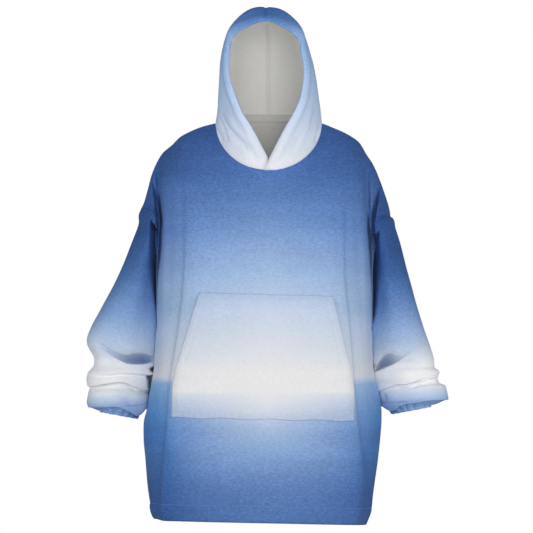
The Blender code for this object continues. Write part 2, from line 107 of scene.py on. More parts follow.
# Side seams from the hem up: height, right side x, left side x in mm
SIDE_SEAMS = [
    (-903.0, -259.0, 236.0), (-874.0, -270.5, 247.0), (-850.0, -272.6, 249.3), (-813.0, -277.3, 254.0),
    (-757.0, -282.0, 262.0), (-701.0, -286.6, 268.0), (-664.0, -285.4, 270.6), (-640.0, -279.0, 270.4),
    (-608.0, -274.0, 266.0), (-576.0, -268.0, 257.0), (-543.0, -262.4, 251.6), (-510.0, -261.0, 250.0),
    (-461.0, -258.2, 249.8), (-385.0, -257.4, 249.8), (-310.0, -256.8, 250.6), (-268.0, -256.3, 254.0),
]
# Depth of the body by height: height, share in front, share behind
BODY_DEPTHS = [
    (-904.0, 0.96, 0.97), (-780.0, 1.02, 1.0), (-650.0, 1.04, 0.98),
    (-500.0, 1.01, 0.96), (-360.0, 1.0, 0.98), (-268.0, 0.95, 0.97),
]
# Crease where the front turns to the side: height, share of the half width
SIDE_CREASES = [
    (-904.0, 0.905), (-800.0, 0.865), (-680.0, 0.800), (-550.0, 0.815),
    (-450.0, 0.775), (-350.0, 0.745), (-268.0, 0.740),
]
SECTION_CREASE = 0.752
# Level cuts through front and back: place across, share of half width, share of depth
FRONT_CUT = [
    (0.0, 0.0, 1.0), (0.2, 0.25, 0.994), (0.4, 0.49, 0.968), (0.55, 0.655, 0.918),
    (0.66, 0.752, 0.845), (0.76, 0.83, 0.69), (0.88, 0.93, 0.40), (1.0, 1.0, 0.0),
]
BACK_CUT = [
    (0.0, 0.0, 1.0), (0.2, 0.25, 0.985), (0.4, 0.49, 0.935), (0.6, 0.70, 0.82),
    (0.75, 0.84, 0.65), (0.88, 0.945, 0.39), (1.0, 1.0, 0.0),
]
# The armhole seams: outer x, outer height, inner x, inner height in mm
ARMHOLE_RIGHT = (-294.7, -177.1, -256.3, -268.0)
ARMHOLE_LEFT = (291.3, -188.7, 254.0, -272.6)

# The print hangs this much lower where the panel runs out over the arm; the darker print this gives the
# upper arm is partly painted shade
PRINT_DROP_AND_ARM_SHADE = 0.15
# It reaches its side colour this far from the middle, and goes on past it up to a limit; past the side
# colour it is painted shade, darker and bluer on the flanks that turn from the light
PRINT_MIDDLE_X = 0.005
PRINT_HALF_WIDTH = 0.19
PRINT_SHADE_MOST_ACROSS = 1.36
# Below these depths under the neck it changes more steeply across, and its painted shade goes on up to
# another limit
PRINT_STEEPER_DEPTHS = (0.69, 0.75)
PRINT_SHADE_MOST_LOW = 1.6

# Gentle waves over a whole panel: height, size, shift
FRONT_WAVES = (0.0007, 0.16, 0.7)
BACK_WAVES = (0.0012, 0.15, 1.9)

# Soft creases hung into the panels: rise in mm, half width in mm, then points x, height
FRONT_CREASES = [
    (-8.0, 10.0, [
        (-192.0, -90.0), (-196.0, -240.0), (-200.0, -338.0), (-212.0, -443.0), (-227.0, -536.0),
        (-236.0, -606.0), (-241.0, -687.0), (-249.0, -770.0), (-255.0, -880.0), (-257.0, -960.0),
    ]),
    (-8.0, 10.0, [
        (186.0, -90.0), (188.0, -240.0), (191.0, -338.0), (203.0, -443.0), (211.0, -536.0),
        (217.0, -606.0), (225.0, -687.0), (236.0, -770.0), (242.0, -880.0), (245.0, -960.0),
    ]),
    (2.6, 5.0, [
        (-184.0, -110.0), (-187.0, -240.0), (-191.0, -338.0), (-203.0, -443.0), (-218.0, -536.0),
        (-227.0, -606.0), (-232.0, -687.0), (-240.0, -770.0), (-246.0, -900.0),
    ]),
    (2.6, 5.0, [
        (176.0, -110.0), (179.0, -240.0), (182.0, -338.0), (194.0, -443.0), (201.0, -536.0),
        (207.0, -606.0), (215.0, -687.0), (226.0, -770.0), (232.0, -900.0),
    ]),
    (2.2, 16.0, [(204.0, -35.0), (211.0, -95.0), (206.0, -165.0)]),
    (-2.4, 11.0, [(228.0, -70.0), (232.0, -130.0), (229.0, -200.0)]),
    (1.8, 14.0, [(-205.0, -35.0), (-214.0, -100.0), (-208.0, -190.0)]),
    (-1.6, 12.0, [(-232.0, -60.0), (-236.0, -140.0), (-230.0, -215.0)]),
    (1.6, 22.0, [(-150.0, -150.0), (-158.0, -260.0), (-165.0, -350.0)]),
    (-1.4, 24.0, [(-122.0, -170.0), (-128.0, -250.0), (-140.0, -345.0)]),
    (1.3, 22.0, [(146.0, -140.0), (150.0, -240.0), (158.0, -350.0)]),
    (-1.2, 26.0, [(118.0, -160.0), (120.0, -260.0), (132.0, -350.0)]),
    (-1.5, 14.0, [(228.0, -560.0), (236.0, -650.0), (240.0, -760.0)]),
    (1.5, 16.0, [(210.0, -700.0), (222.0, -790.0), (226.0, -880.0)]),
    (-1.6, 14.0, [(-238.0, -560.0), (-248.0, -660.0), (-250.0, -780.0)]),
    (1.4, 18.0, [(-206.0, -700.0), (-222.0, -800.0), (-228.0, -890.0)]),
    (1.4, 30.0, [(-80.0, -700.0), (-95.0, -790.0), (-88.0, -900.0)]),
    (-1.2, 26.0, [(-30.0, -690.0), (-42.0, -800.0), (-36.0, -900.0)]),
    (1.2, 32.0, [(70.0, -700.0), (82.0, -800.0), (78.0, -905.0)]),
    (-1.2, 28.0, [(128.0, -690.0), (134.0, -800.0), (140.0, -905.0)]),
    (1.0, 30.0, [(10.0, -130.0), (4.0, -230.0), (12.0, -330.0)]),
]
# Folds where the chest stands proud of the arms, straight forward or back: the same columns
CHEST_FOLDS = [
    (-34.0, 6.5, [
        (-244.0, -40.0), (-250.5, -82.0), (-250.2, -130.0), (-249.2, -172.0), (-249.2, -205.0),
        (-251.0, -240.0), (-253.0, -268.0), (-255.0, -320.0),
    ]),
    (-26.0, 5.5, [
        (236.0, -60.0), (237.0, -120.0), (238.5, -165.0), (240.5, -205.0),
        (243.0, -240.0), (245.5, -268.0), (250.0, -320.0),
    ]),
    (11.0, 11.0, [
        (-234.0, -60.0), (-237.0, -140.0), (-238.0, -220.0), (-240.0, -300.0),
        (-242.0, -400.0), (-245.0, -500.0), (-250.0, -590.0),
    ]),
    (11.0, 11.0, [
        (221.0, -70.0), (223.0, -140.0), (226.0, -220.0), (230.0, -300.0),
        (235.0, -400.0), (237.0, -500.0), (242.0, -590.0),
    ]),
]
# The tuck under each arm: height, how far out the sleeve turns back, in mm
TUCK_RIGHT = [
    (-445.0, 253.0), (-409.0, 257.5), (-381.0, 262.0), (-344.0, 267.7),
    (-307.0, 270.5), (-251.0, 271.4), (-205.0, 269.6), (-180.0, 268.0),
]
TUCK_LEFT = [
    (-470.0, 245.0), (-440.0, 250.5), (-414.0, 256.8), (-363.0, 261.7),
    (-312.0, 264.2), (-262.0, 264.2), (-225.0, 264.0), (-190.0, 262.0),
]
# Upper end of each tuck: how far out, height in mm
TUCK_TOP_RIGHT = [(246.0, -230.0), (258.0, -210.0), (268.7, -191.8), (276.0, -190.0)]
TUCK_TOP_LEFT = [(238.0, -260.0), (248.0, -250.0), (258.0, -227.0), (270.0, -212.0), (283.0, -209.0)]
TUCK_SLOPE = 8.0
# The tucks run out towards the cuffs between these heights, in mm
TUCK_RUNS_OUT = (-460.0, -420.0)
# No chest fold goes further forward than this
CHEST_FOLD_FRONT = -0.012

BACK_CREASES = [
    (-3.4, 26.0, [(-8.0, -70.0), (-4.0, -300.0), (-12.0, -560.0)]),
    (3.0, 34.0, [(-64.0, -110.0), (-72.0, -360.0), (-84.0, -700.0)]),
    (3.2, 36.0, [(58.0, -100.0), (70.0, -340.0), (76.0, -650.0)]),
    (-3.0, 24.0, [(-132.0, -90.0), (-146.0, -300.0), (-158.0, -520.0)]),
    (-2.8, 28.0, [(136.0, -80.0), (148.0, -290.0), (168.0, -600.0)]),
    (2.8, 22.0, [(-196.0, -60.0), (-206.0, -190.0), (-214.0, -420.0)]),
    (2.6, 22.0, [(200.0, -60.0), (204.0, -200.0), (212.0, -400.0)]),
    (-3.0, 16.0, [(-230.0, -110.0), (-226.0, -220.0), (-232.0, -380.0)]),
    (-3.0, 16.0, [(232.0, -110.0), (226.0, -230.0), (230.0, -420.0)]),
    (2.2, 40.0, [(-150.0, -560.0), (-168.0, -720.0), (-160.0, -890.0)]),
    (-2.4, 34.0, [(-60.0, -600.0), (-52.0, -760.0), (-60.0, -900.0)]),
    (2.4, 36.0, [(14.0, -620.0), (22.0, -780.0), (16.0, -905.0)]),
    (-2.2, 30.0, [(112.0, -640.0), (118.0, -780.0), (112.0, -905.0)]),
    (2.0, 30.0, [(176.0, -600.0), (188.0, -740.0), (182.0, -900.0)]),
]

# The print down the body: height in mm, colour in the middle, colour at the sides
BODY_PRINT = [
    (40.0, (66, 101, 164), (62, 96, 158)),
    (-35.0, (76, 113, 176), (66, 101, 163)),
    (-93.0, (86, 124, 187), (71, 108, 170)),
    (-168.0, (104, 142, 199), (92, 129, 187)),
    (-221.0, (122, 156, 205), (102, 139, 197)),
    (-268.0, (142, 171, 213), (126, 158, 207)),
    (-315.0, (158, 185, 222), (141, 171, 214)),
    (-354.0, (176, 197, 228), (157, 183, 220)),
    (-408.0, (198, 211, 231), (166, 190, 222)),
    (-450.0, (208, 217, 231), (187, 203, 227)),
    (-501.0, (219, 222, 230), (200, 210, 226)),
    (-552.0, (230, 230, 231), (216, 219, 226)),
    (-563.0, (228, 228, 231), (214, 218, 228)),
    (-578.0, (222, 224, 231), (168, 191, 223)),
    (-617.0, (208, 215, 230), (148, 175, 215)),
    (-655.0, (190, 204, 227), (130, 162, 209)),
    (-690.0, (164, 187, 219), (113, 147, 200)),
    (-727.0, (139, 169, 211), (106, 142, 195)),
    (-764.0, (122, 153, 202), (94, 130, 185)),
    (-802.0, (103, 136, 191), (81, 117, 175)),
    (-839.0, (90, 125, 180), (73, 108, 166)),
    (-876.0, (85, 121, 178), (70, 105, 164)),
    (-915.0, (81, 117, 175), (67, 101, 158)),
]


def unit(vectors):
    """The same directions, each one unit long."""
    length = np.linalg.norm(vectors, axis=-1, keepdims=True)
    return vectors / np.maximum(length, 1e-12)


def ease(low, high, value):
    """0 below low, 1 above high, and a smooth step between them."""
    share = np.clip((value - low) / (high - low), 0.0, 1.0)
    return share * share * (3.0 - 2.0 * share)


def follow(keys, values, at):
    """Values of a table at the given keys, on a smooth curve that is flat where it turns."""
    keys, values, at = (np.asarray(part, float) for part in (keys, values, at))
    slopes = np.diff(values, axis=0) / np.diff(keys)[:, None]
    inner = 0.5 * (slopes[:-1] + slopes[1:])
    inner = np.where(slopes[:-1] * slopes[1:] <= 0.0, 0.0, inner)
    slopes = np.concatenate([slopes[:1], inner, slopes[-1:]])
    index = np.clip(np.searchsorted(keys, at, side="right") - 1, 0, len(keys) - 2)
    step = keys[index + 1] - keys[index]
    share = np.clip((at - keys[index]) / step, 0.0, 1.0)[..., None]
    step, square, cube = step[..., None], share**2, share**3
    return (
        (2 * cube - 3 * square + 1) * values[index]
        + (cube - 2 * square + share) * step * slopes[index]
        + (3 * square - 2 * cube) * values[index + 1]
        + (cube - square) * step * slopes[index + 1]
    )


def by_height(table, at, scale=MM):
    """The columns of a table, read at the keys in its first column."""
    table = np.array(table, float)
    return follow(table[:, 0], table[:, 1:] * scale, at)


def along(points, shares):
    """Points of a line in mm, read at shares of its length, in metres."""
    points = np.array(points, float) * MM
    gaps = np.linalg.norm(np.diff(points[:, :2], axis=0), axis=1)
    keys = np.concatenate([[0.0], np.cumsum(gaps)])
    return follow(keys / keys[-1], points, shares)


def neck_seam(angle):
    """Points of the neck seam: 0 is the front, positive towards the wearer's left."""
    rise = np.where(np.cos(angle) > 0, -NECK_FRONT_DROP, -NECK_BACK_RISE) * np.cos(angle)
    return np.stack(
        [
            NECK_X + NECK_HALF_WIDTH * np.sin(angle),
            SHOULDER_CREST_Y - NECK_HALF_DEPTH * np.cos(angle),
            NECK_SIDE_HEIGHT + rise,
        ],
        axis=-1,
    )


def neck_facing(angle):
    """The way the cloth faces along the neck seam, the same for all that meet there."""
    upward = 0.2 + 0.5 * np.abs(np.sin(angle))
    return unit(np.stack([0.8 * np.sin(angle), -0.9 * np.cos(angle), upward], axis=-1))


def armhole_facing(angle, side):
    """The way the cloth faces along an armhole seam: 0 is the top, half a turn the underarm."""
    top, under = np.maximum(np.cos(angle), 0.0), np.maximum(-np.cos(angle), 0.0)
    outward = side * (0.95 * top + 0.1 * under)
    return unit(np.stack([outward, -np.sin(angle), 0.3 * top - 0.98 * under], axis=-1))


def hem_height(x):
    """The hem dips a little towards the wearer's left."""
    return HEM_AT_RIGHT + (HEM_AT_LEFT - HEM_AT_RIGHT) * np.clip((x - HEM_CORNER_X) / HEM_WIDTH, 0.0, 1.0)


def level_cut(across, height, face):
    """x and y of the body at heights below the underarm; face -1 is front, 1 is back."""
    sides = by_height(SIDE_SEAMS, height / MM)
    depths = by_height(BODY_DEPTHS, height / MM, 1.0)
    shares = by_height(FRONT_CUT if face < 0 else BACK_CUT, np.abs(across), 1.0)
    middle = 0.5 * (sides[..., 0] + sides[..., 1])
    half = 0.5 * (sides[..., 1] - sides[..., 0])
    crease = by_height(SIDE_CREASES, height / MM, 1.0)[..., 0]
    outer = (shares[..., 0] - SECTION_CREASE) / (1.0 - SECTION_CREASE)
    inner = shares[..., 0] * crease / SECTION_CREASE
    wide = np.where(outer > 0.0, crease + outer * (1.0 - crease), inner)
    x = middle + half * np.sign(across) * wide
    depth = FRONT_DEPTH * depths[..., 0] if face < 0 else BACK_DEPTH * depths[..., 1]
    return x, face * depth * shares[..., 1]


def shoulder_and_neck(across, face):
    """The top edge of a panel, from one armhole over the shoulders and neck to the other."""
    points = np.zeros((len(across), 3))
    for i, u in enumerate(across):
        if abs(u) < NECK_SHARE + SAME:
            turn = 0.5 * math.pi * u / NECK_SHARE
            points[i] = neck_seam(np.array(turn if face < 0 else math.pi - turn))
        else:
            share = (abs(u) - NECK_SHARE) / (1.0 - NECK_SHARE)
            x, z = along(SHOULDER_RIGHT if u < 0 else SHOULDER_LEFT, np.array(share))
            points[i] = (x, SHOULDER_CREST_Y * (1.0 - ease(0.0, 0.8, share)), z)
    return points


def grid_facing(points, closed=False):
    """Unit normals of a grid of points, by the points beside each one."""
    if closed:
        sideways = np.roll(points, -1, axis=1) - np.roll(points, 1, axis=1)
    else:
        sideways = np.gradient(points, axis=1)
    return unit(np.cross(sideways, np.gradient(points, axis=0)))


def body_panel(across, upper_rows, lower_rows, face):
    """Points and outward facings of the front or back panel, row by row."""
    top = shoulder_and_neck(across, face)
    level_x, level_y = level_cut(across, np.full(len(across), UNDERARM_HEIGHT), face)
    away = np.abs(across)
    arm = ease(ARM_FROM, 1.0, away)
    neck = np.cos(0.5 * math.pi * np.clip(across / NECK_SHARE, -1.0, 1.0))
    near_neck = 2.0 if face < 0 else 1.2
    steep = near_neck + (0.9 - near_neck) * ease(NECK_SHARE, 0.8, away)
    rows, arm_part = [], np.zeros((upper_rows + lower_rows, len(across)))

    # From the top edge to the underarm: chest and upper arm side by side
    for w in np.linspace(0.0, 1.0, upper_rows):
        body_share = 1.0 - math.cos(0.5 * math.pi * w)
        body_share = body_share + 0.5 * neck * (w - body_share)
        down = (1.0 - arm) * body_share + arm * 0.5 * (1.0 - math.cos(math.pi * w))
        out = math.sin(0.5 * math.pi * w) ** steep
        bulge = math.sin(math.pi * w) ** 1.5 * (1.0 + math.cos(math.pi * w))
        row = np.zeros((len(across), 3))
        row[:, 0] = top[:, 0] * (1.0 - down) + level_x * down
        row[:, 0] -= np.sign(across) * arm * ARMHOLE_BOW_X * bulge
        row[:, 2] = top[:, 2] * (1.0 - down) + UNDERARM_HEIGHT * down
        row[:, 2] += arm * ARMHOLE_BOW_Z * bulge
        fold = FOLD_FROM + (1.0 - FOLD_FROM) * w**1.5
        arm_part[len(rows)] = ease(fold - 0.03, fold + 0.02, away)
        chest = by_height(FRONT_CUT if face < 0 else BACK_CUT, np.minimum(away / fold, 1.0), 1.0)[:, 1]
        least = SHOULDER_DEPTH * (1.0 - w)
        chest = least + (1.0 - least) * chest
        chest = chest * (1.0 - ease(fold, 1.0 + 1e-6, away)) * np.abs(level_y).max() * out
        reach = np.clip((away - fold + 0.03) / (1.03 - fold), 0.0, 1.0)
        upper_arm = ARMHOLE_HALF_DEPTH * math.sin(math.pi * w) * reach**0.6
        row[:, 1] = top[:, 1] * (1.0 - out) + face * (chest**4 + upper_arm**4) ** 0.25
        rows.append(row)

    # From the underarm to the hem
    for v in np.linspace(0.0, 1.0, lower_rows + 1)[1:]:
        row = np.zeros((len(across), 3))
        row[:, 2] = UNDERARM_HEIGHT + (hem_height(level_x) - UNDERARM_HEIGHT) * v
        row[:, 0], row[:, 1] = level_cut(across, row[:, 2], face)
        rows.append(row)
    points = np.array(rows)
    down = np.linspace(0.0, 1.0, upper_rows)
    soft = (ease(0.02, 0.2, down) * (1.0 - ease(0.6, 0.9, down)))[:, None, None]
    corner = np.exp(-(((away - NECK_SHARE) / CORNER_REACH) ** 2))[None, 1:-1, None]
    for _ in range(CORNER_ROUNDS):
        upper = points[:upper_rows]
        beside = 0.5 * (upper[:, :-2] + upper[:, 2:])
        upper[:, 1:-1] += 0.5 * soft * corner * (beside - upper[:, 1:-1])

    # Panels face the same way where they meet, at the neck, armholes and sides
    facing = grid_facing(points) * face
    top = away < NECK_SHARE + SAME
    angle = 0.5 * math.pi * across / NECK_SHARE
    facing[0, top] = neck_facing(angle if face < 0 else math.pi - angle)[top]
    facing[0, ~top, 1] = 0.0
    turn = np.linspace(0.0, math.pi, upper_rows)
    for column, side in ((0, -1.0), (-1, 1.0)):
        ring = armhole_facing(turn, side)
        ring[:, 1] *= -face
        facing[:upper_rows, column] = ring
        facing[upper_rows:, column, 1] = 0.0
    return points, unit(facing), arm_part


def crease_rise(x, z, creases, legs=12):
    """How far a table of soft creases lifts or sinks the cloth at each point, in metres."""
    total = np.zeros(x.shape)
    for rise, width, line in creases:
        line = along(line, np.linspace(0.0, 1.0, legs + 1))
        near, place = np.full(x.shape, np.inf), np.zeros(x.shape)
        for i in range(legs):
            (ax, az), (bx, bz) = line[i], line[i + 1]
            span = (bx - ax) ** 2 + (bz - az) ** 2
            t = np.clip(((x - ax) * (bx - ax) + (z - az) * (bz - az)) / span, 0.0, 1.0)
            gap = np.hypot(x - ax - t * (bx - ax), z - az - t * (bz - az))
            place = np.where(gap < near, (i + t) / legs, place)
            near = np.minimum(near, gap)
        taper = np.sin(math.pi * np.clip(place, 0.0, 1.0)) ** 0.7
        total += rise * MM * np.exp(-((near / (width * MM)) ** 2)) * taper
    return total


def soft_waves(x, z, size, shift):
    """Gentle uneven waves in cloth, between -1 and 1, about one size across."""
    total = np.zeros(np.shape(x))
    for i in range(7):
        turn = 2.4 * i + shift
        a, b = math.cos(turn) / size, 0.6 * math.sin(turn) / size
        total += np.sin(6.28 * (a * x + b * z) * (0.7 + 0.13 * i) + 1.7 * i * shift)
    return total / 4.0


def tuck_in(points, side, deepest, part=1.0):
    """Turn the cloth under one arm straight back from the line where the sleeve folds."""
    out, height = side * points[..., 0] / MM, points[..., 2] / MM
    line, top = (TUCK_RIGHT, TUCK_TOP_RIGHT) if side < 0 else (TUCK_LEFT, TUCK_TOP_LEFT)
    into = by_height(line, height, 1.0)[..., 0] - out
    into = 0.5 * (into + np.sqrt(into**2 + 0.8)) * TUCK_SLOPE * MM
    start = np.interp(out, *np.array(top).T)
    into = into * part * ease(0.0, 6.0, start - height) * ease(*TUCK_RUNS_OUT, height)
    room = np.maximum(deepest - points[..., 1], 0.0)
    points[..., 1] += np.minimum(into, room)


def panel_relief(x, z, creases, waves):
    """The creases and the gentle waves of one panel."""
    height, size, shift = waves
    return crease_rise(x, z, creases) + height * soft_waves(x, z, size, shift)


def edge_gap(points, edge):
    """Distance of each point from one edge of its grid, measured along the grid."""
    axis = 0 if edge in ("first row", "last row") else 1
    steps = np.linalg.norm(np.diff(points, axis=axis), axis=-1)
    if edge in ("last row", "last column"):
        steps = np.flip(steps, axis)
    total = np.concatenate([np.zeros_like(np.take(steps, [0], axis)), np.cumsum(steps, axis)], axis)
    return np.flip(total, axis) if edge in ("last row", "last column") else total


def seam_dip(gap, depth=SEAM_DEPTH, width=SEAM_WIDTH):
    """How far the cloth sinks at a distance from a seam."""
    return -depth * np.exp(-((gap / width) ** 2))


def pushed_facing(points, before, facing):
    """Where cloth is pushed straight back or forward, and close by, its wall runs that way too."""
    pushed = ease(0.0, 0.003, np.abs(points - before)[..., 1:2])
    for _ in range(4):
        for axis in (0, 1):
            beside = np.maximum(np.roll(pushed, 1, axis), np.roll(pushed, -1, axis))
            pushed = np.maximum(pushed, 0.85 * beside)
    return unit(facing * (1.0 - pushed) + np.array([0.0, -1.0, 0.0]) * pushed)


def sewn_cloth(name, points, facing, wall, prints, looks, closed=False, doubled=0.0):
    """One closed wall of cloth: the printed face, the wrong side and the cut edges."""
    rows, columns = points.shape[:2]
    inside = points - facing * (wall + doubled)[..., None]
    count = rows * columns
    index = np.arange(count).reshape(rows, columns)
    if closed:
        index = np.concatenate([index, index[:, :1]], axis=1)
    a, b, c, d = index[:-1, :-1], index[:-1, 1:], index[1:, 1:], index[1:, :-1]
    face = np.stack([a, b, c, d], axis=-1).reshape(-1, 4)
    back = face[:, ::-1] + count
    first, last = index[0], index[-1]
    rims = [
        np.stack([first[:-1], first[:-1] + count, first[1:] + count, first[1:]], axis=-1),
        np.stack([last[1:], last[1:] + count, last[:-1] + count, last[:-1]], axis=-1),
    ]
    if not closed:
        left, right = index[:, 0], index[:, -1]
        rims.append(np.stack([left[:-1], left[1:], left[1:] + count, left[:-1] + count], axis=-1))
        rims.append(np.stack([right[:-1], right[:-1] + count, right[1:] + count, right[1:]], axis=-1))
    faces = np.concatenate([face, back] + rims)
    mesh = bpy.data.meshes.new(name)
    vertices = np.concatenate([points.reshape(-1, 3), inside.reshape(-1, 3)])
    mesh.from_pydata(vertices.tolist(), [], faces.tolist())
    for look in looks:
        mesh.materials.append(look)
    slots = np.zeros(len(faces), np.int32)
    slots[len(face) : 2 * len(face)] = 1
    mesh.polygons.foreach_set("material_index", slots)
    for key, values in prints.items():
        layer = mesh.attributes.new(key, "FLOAT", "POINT")
        layer.data.foreach_set("value", np.tile(np.asarray(values, np.float32).reshape(-1), 2))
    corner, over, down = (points.reshape(-1, 3)[face[:, i]] for i in (0, 1, 3))
    normal = np.cross(over - corner, down - corner)
    if (normal * facing.reshape(-1, 3)[face[:, 0]]).sum() < 0.0:
        mesh.flip_normals()
    mesh.shade_smooth()
    mesh.update()
    piece = bpy.data.objects.new(name, mesh)
    bpy.context.scene.collection.objects.link(piece)
    return piece


def dye(colour, strength=1.0):
    """A printed colour, given as 0 to 255, as the shader's own linear colour."""
    linear = []
    for channel in colour:
        value = min(channel * strength / 255.0, 1.0)
        linear.append(value / 12.92 if value < 0.04045 else ((value + 0.055) / 1.055) ** 2.4)
    return (*linear, 1.0)


def new_look(name):
    """A new material, its tree and its shader."""
    look = bpy.data.materials.new(name)
    look.use_nodes = True
    return look, look.node_tree, look.node_tree.nodes["Principled BSDF"]


def join(tree, source, socket, target, name):
    """Link an output of one node to an input of another."""
    tree.links.new(source.outputs[socket], target.inputs[name])


def rescaled(tree, source, socket, low, high, from_low=0.0, from_high=1.0):
    """A node that turns one range of a pattern into another."""
    scale = tree.nodes.new("ShaderNodeMapRange")
    ends = {"From Min": from_low, "From Max": from_high, "To Min": low, "To Max": high}
    for name, value in ends.items():
        scale.inputs[name].default_value = value
    join(tree, source, socket, scale, "Value")
    return scale


def toned(tree, source, socket, low, high):
    """The colour of a pattern, from one dye to another."""
    tone = tree.nodes.new("ShaderNodeMix")
    tone.data_type = "RGBA"
    tone.inputs[6].default_value = low
    tone.inputs[7].default_value = high
    join(tree, source, socket, tone, "Factor")
    return tone.outputs[2]


def bumped(tree, source, socket, shader, strength, depth):
    """Raise the surface by a pattern."""
    bump = tree.nodes.new("ShaderNodeBump")
    bump.inputs["Strength"].default_value = strength
    bump.inputs["Distance"].default_value = depth
    join(tree, source, socket, bump, "Height")
    join(tree, bump, "Normal", shader, "Normal")


def roughened(tree, source, socket, shader, low, high):
    """Let the roughness follow a pattern."""
    join(tree, rescaled(tree, source, socket, low, high), "Result", shader, "Roughness")


def nap_bump(tree, shader, coarse, fine, depth):
    """Brushed pile: clumps of fibre with finer fibre on them, as bump, stretched sideways."""
    place = tree.nodes.new("ShaderNodeTexCoord")
    stretch = tree.nodes.new("ShaderNodeMapping")
    stretch.inputs["Scale"].default_value = (0.7, 0.9, 1.7)
    join(tree, place, "Object", stretch, "Vector")
    heights = []
    for scale, detail in ((coarse, 4.0), (fine, 2.0)):
        noise = tree.nodes.new("ShaderNodeTexNoise")
        noise.inputs["Scale"].default_value = scale
        noise.inputs["Detail"].default_value = detail
        noise.inputs["Roughness"].default_value = 0.62
        join(tree, stretch, "Vector", noise, "Vector")
        heights.append(noise)
    blend = tree.nodes.new("ShaderNodeMath")
    blend.operation = "MULTIPLY_ADD"
    blend.inputs[1].default_value = 0.45
    join(tree, heights[1], "Fac", blend, 0)
    join(tree, heights[0], "Fac", blend, 2)
    bumped(tree, blend, "Value", shader, 0.55, depth)
    return heights


def printed_fleece(name, table):
    """Fleece printed with an ombre by height, mottled by its pile, with a soft sheen.

    Rows are height in mm and colour. A third value is the colour at the sides; the mix goes on past it,
    and there it is painted shade. The heights it reads carry painted shade and light in places.
    """
    look, tree, shader = new_look(name)
    shader.inputs["Sheen Weight"].default_value = 0.06
    shader.inputs["Sheen Roughness"].default_value = 0.45
    shader.inputs["Sheen Tint"].default_value = (0.55, 0.72, 1.0, 1.0)
    shader.inputs["Specular IOR Level"].default_value = 0.12
    coarse, fine = nap_bump(tree, shader, 190.0, 900.0, 0.0011)

    # The ombre: one run of colours down the middle, and one down the sides, which runs on past the side
    # colour as painted shade
    high, low = table[0][0], table[-1][0]
    down = tree.nodes.new("ShaderNodeAttribute")
    down.attribute_name = "print_and_shade_down"
    share = rescaled(tree, down, "Fac", 0.0, 1.0, high * MM, low * MM)
    colours = []
    for column in range(1, len(table[0])):
        ramp = tree.nodes.new("ShaderNodeValToRGB")
        stops = ramp.color_ramp.elements
        while len(stops) < len(table):
            stops.new(0.5)
        for i, row in enumerate(table):
            stops[i].position = (high - row[0]) / (high - low)
        for i, row in enumerate(table):
            stops[i].color = dye(row[column])
        join(tree, share, "Result", ramp, "Fac")
        colours.append(ramp.outputs["Color"])
    ombre = colours[0]
    if len(colours) == 2:
        side = tree.nodes.new("ShaderNodeAttribute")
        side.attribute_name = "print_and_shade_side"
        across = tree.nodes.new("ShaderNodeMix")
        across.data_type = "RGBA"
        across.clamp_factor = False
        join(tree, side, "Fac", across, "Factor")
        tree.links.new(colours[0], across.inputs[6])
        tree.links.new(colours[1], across.inputs[7])
        ombre = across.outputs[2]

    # The mottle of the pile and wide faint clouds, both stronger where the dye is deep
    mottle = rescaled(tree, coarse, "Fac", 0.74, 1.25, 0.3, 0.7)
    place = tree.nodes.new("ShaderNodeTexCoord")
    stretch = tree.nodes.new("ShaderNodeMapping")
    stretch.inputs["Scale"].default_value = (5.0, 5.0, 26.0)
    join(tree, place, "Object", stretch, "Vector")
    clouds = tree.nodes.new("ShaderNodeTexNoise")
    clouds.inputs["Scale"].default_value = 1.0
    clouds.inputs["Detail"].default_value = 3.0
    join(tree, stretch, "Vector", clouds, "Vector")
    both = tree.nodes.new("ShaderNodeMath")
    both.operation = "MULTIPLY"
    join(tree, mottle, "Result", both, 0)
    join(tree, rescaled(tree, clouds, "Fac", 0.93, 1.07, 0.3, 0.7), "Result", both, 1)
    grey = tree.nodes.new("ShaderNodeRGBToBW")
    tree.links.new(ombre, grey.inputs["Color"])
    dyed = tree.nodes.new("ShaderNodeHueSaturation")
    join(tree, both, "Value", dyed, "Value")
    join(tree, rescaled(tree, grey, "Val", 1.0, 0.16, 0.12, 0.70), "Result", dyed, "Fac")
    tree.links.new(ombre, dyed.inputs["Color"])
    join(tree, dyed, "Color", shader, "Base Color")
    roughened(tree, fine, "Fac", shader, 0.84, 1.0)
    return look


def plain_fleece(name, colour):
    """Unprinted fleece, as on the wrong side of every panel."""
    look, tree, shader = new_look(name)
    shader.inputs["Sheen Weight"].default_value = 0.30
    shader.inputs["Sheen Roughness"].default_value = 0.5
    shader.inputs["Specular IOR Level"].default_value = 0.1
    clumps, fine = nap_bump(tree, shader, 260.0, 1100.0, 0.0009)
    tone = toned(tree, clumps, "Fac", dye(colour, 0.93), dye(colour, 1.04))
    tree.links.new(tone, shader.inputs["Base Color"])
    roughened(tree, fine, "Fac", shader, 0.86, 1.0)
    return look


def across_panel(neck_steps, shoulder_steps):
    """Places of a panel's columns, closer together over the arms, where the folds are."""
    even = np.linspace(0.0, 1.0, shoulder_steps + 1)
    shoulder = np.interp(even, [0.0, 0.42, 1.0], [NECK_SHARE, 0.76, 1.0])
    neck = np.linspace(-NECK_SHARE, NECK_SHARE, 2 * neck_steps + 1)
    return np.concatenate([-shoulder[::-1][:-1], neck, shoulder[1:]])


body_print = printed_fleece("body_fleece", BODY_PRINT)
wrong_side = plain_fleece("fleece_wrong_side", (244, 244, 242))

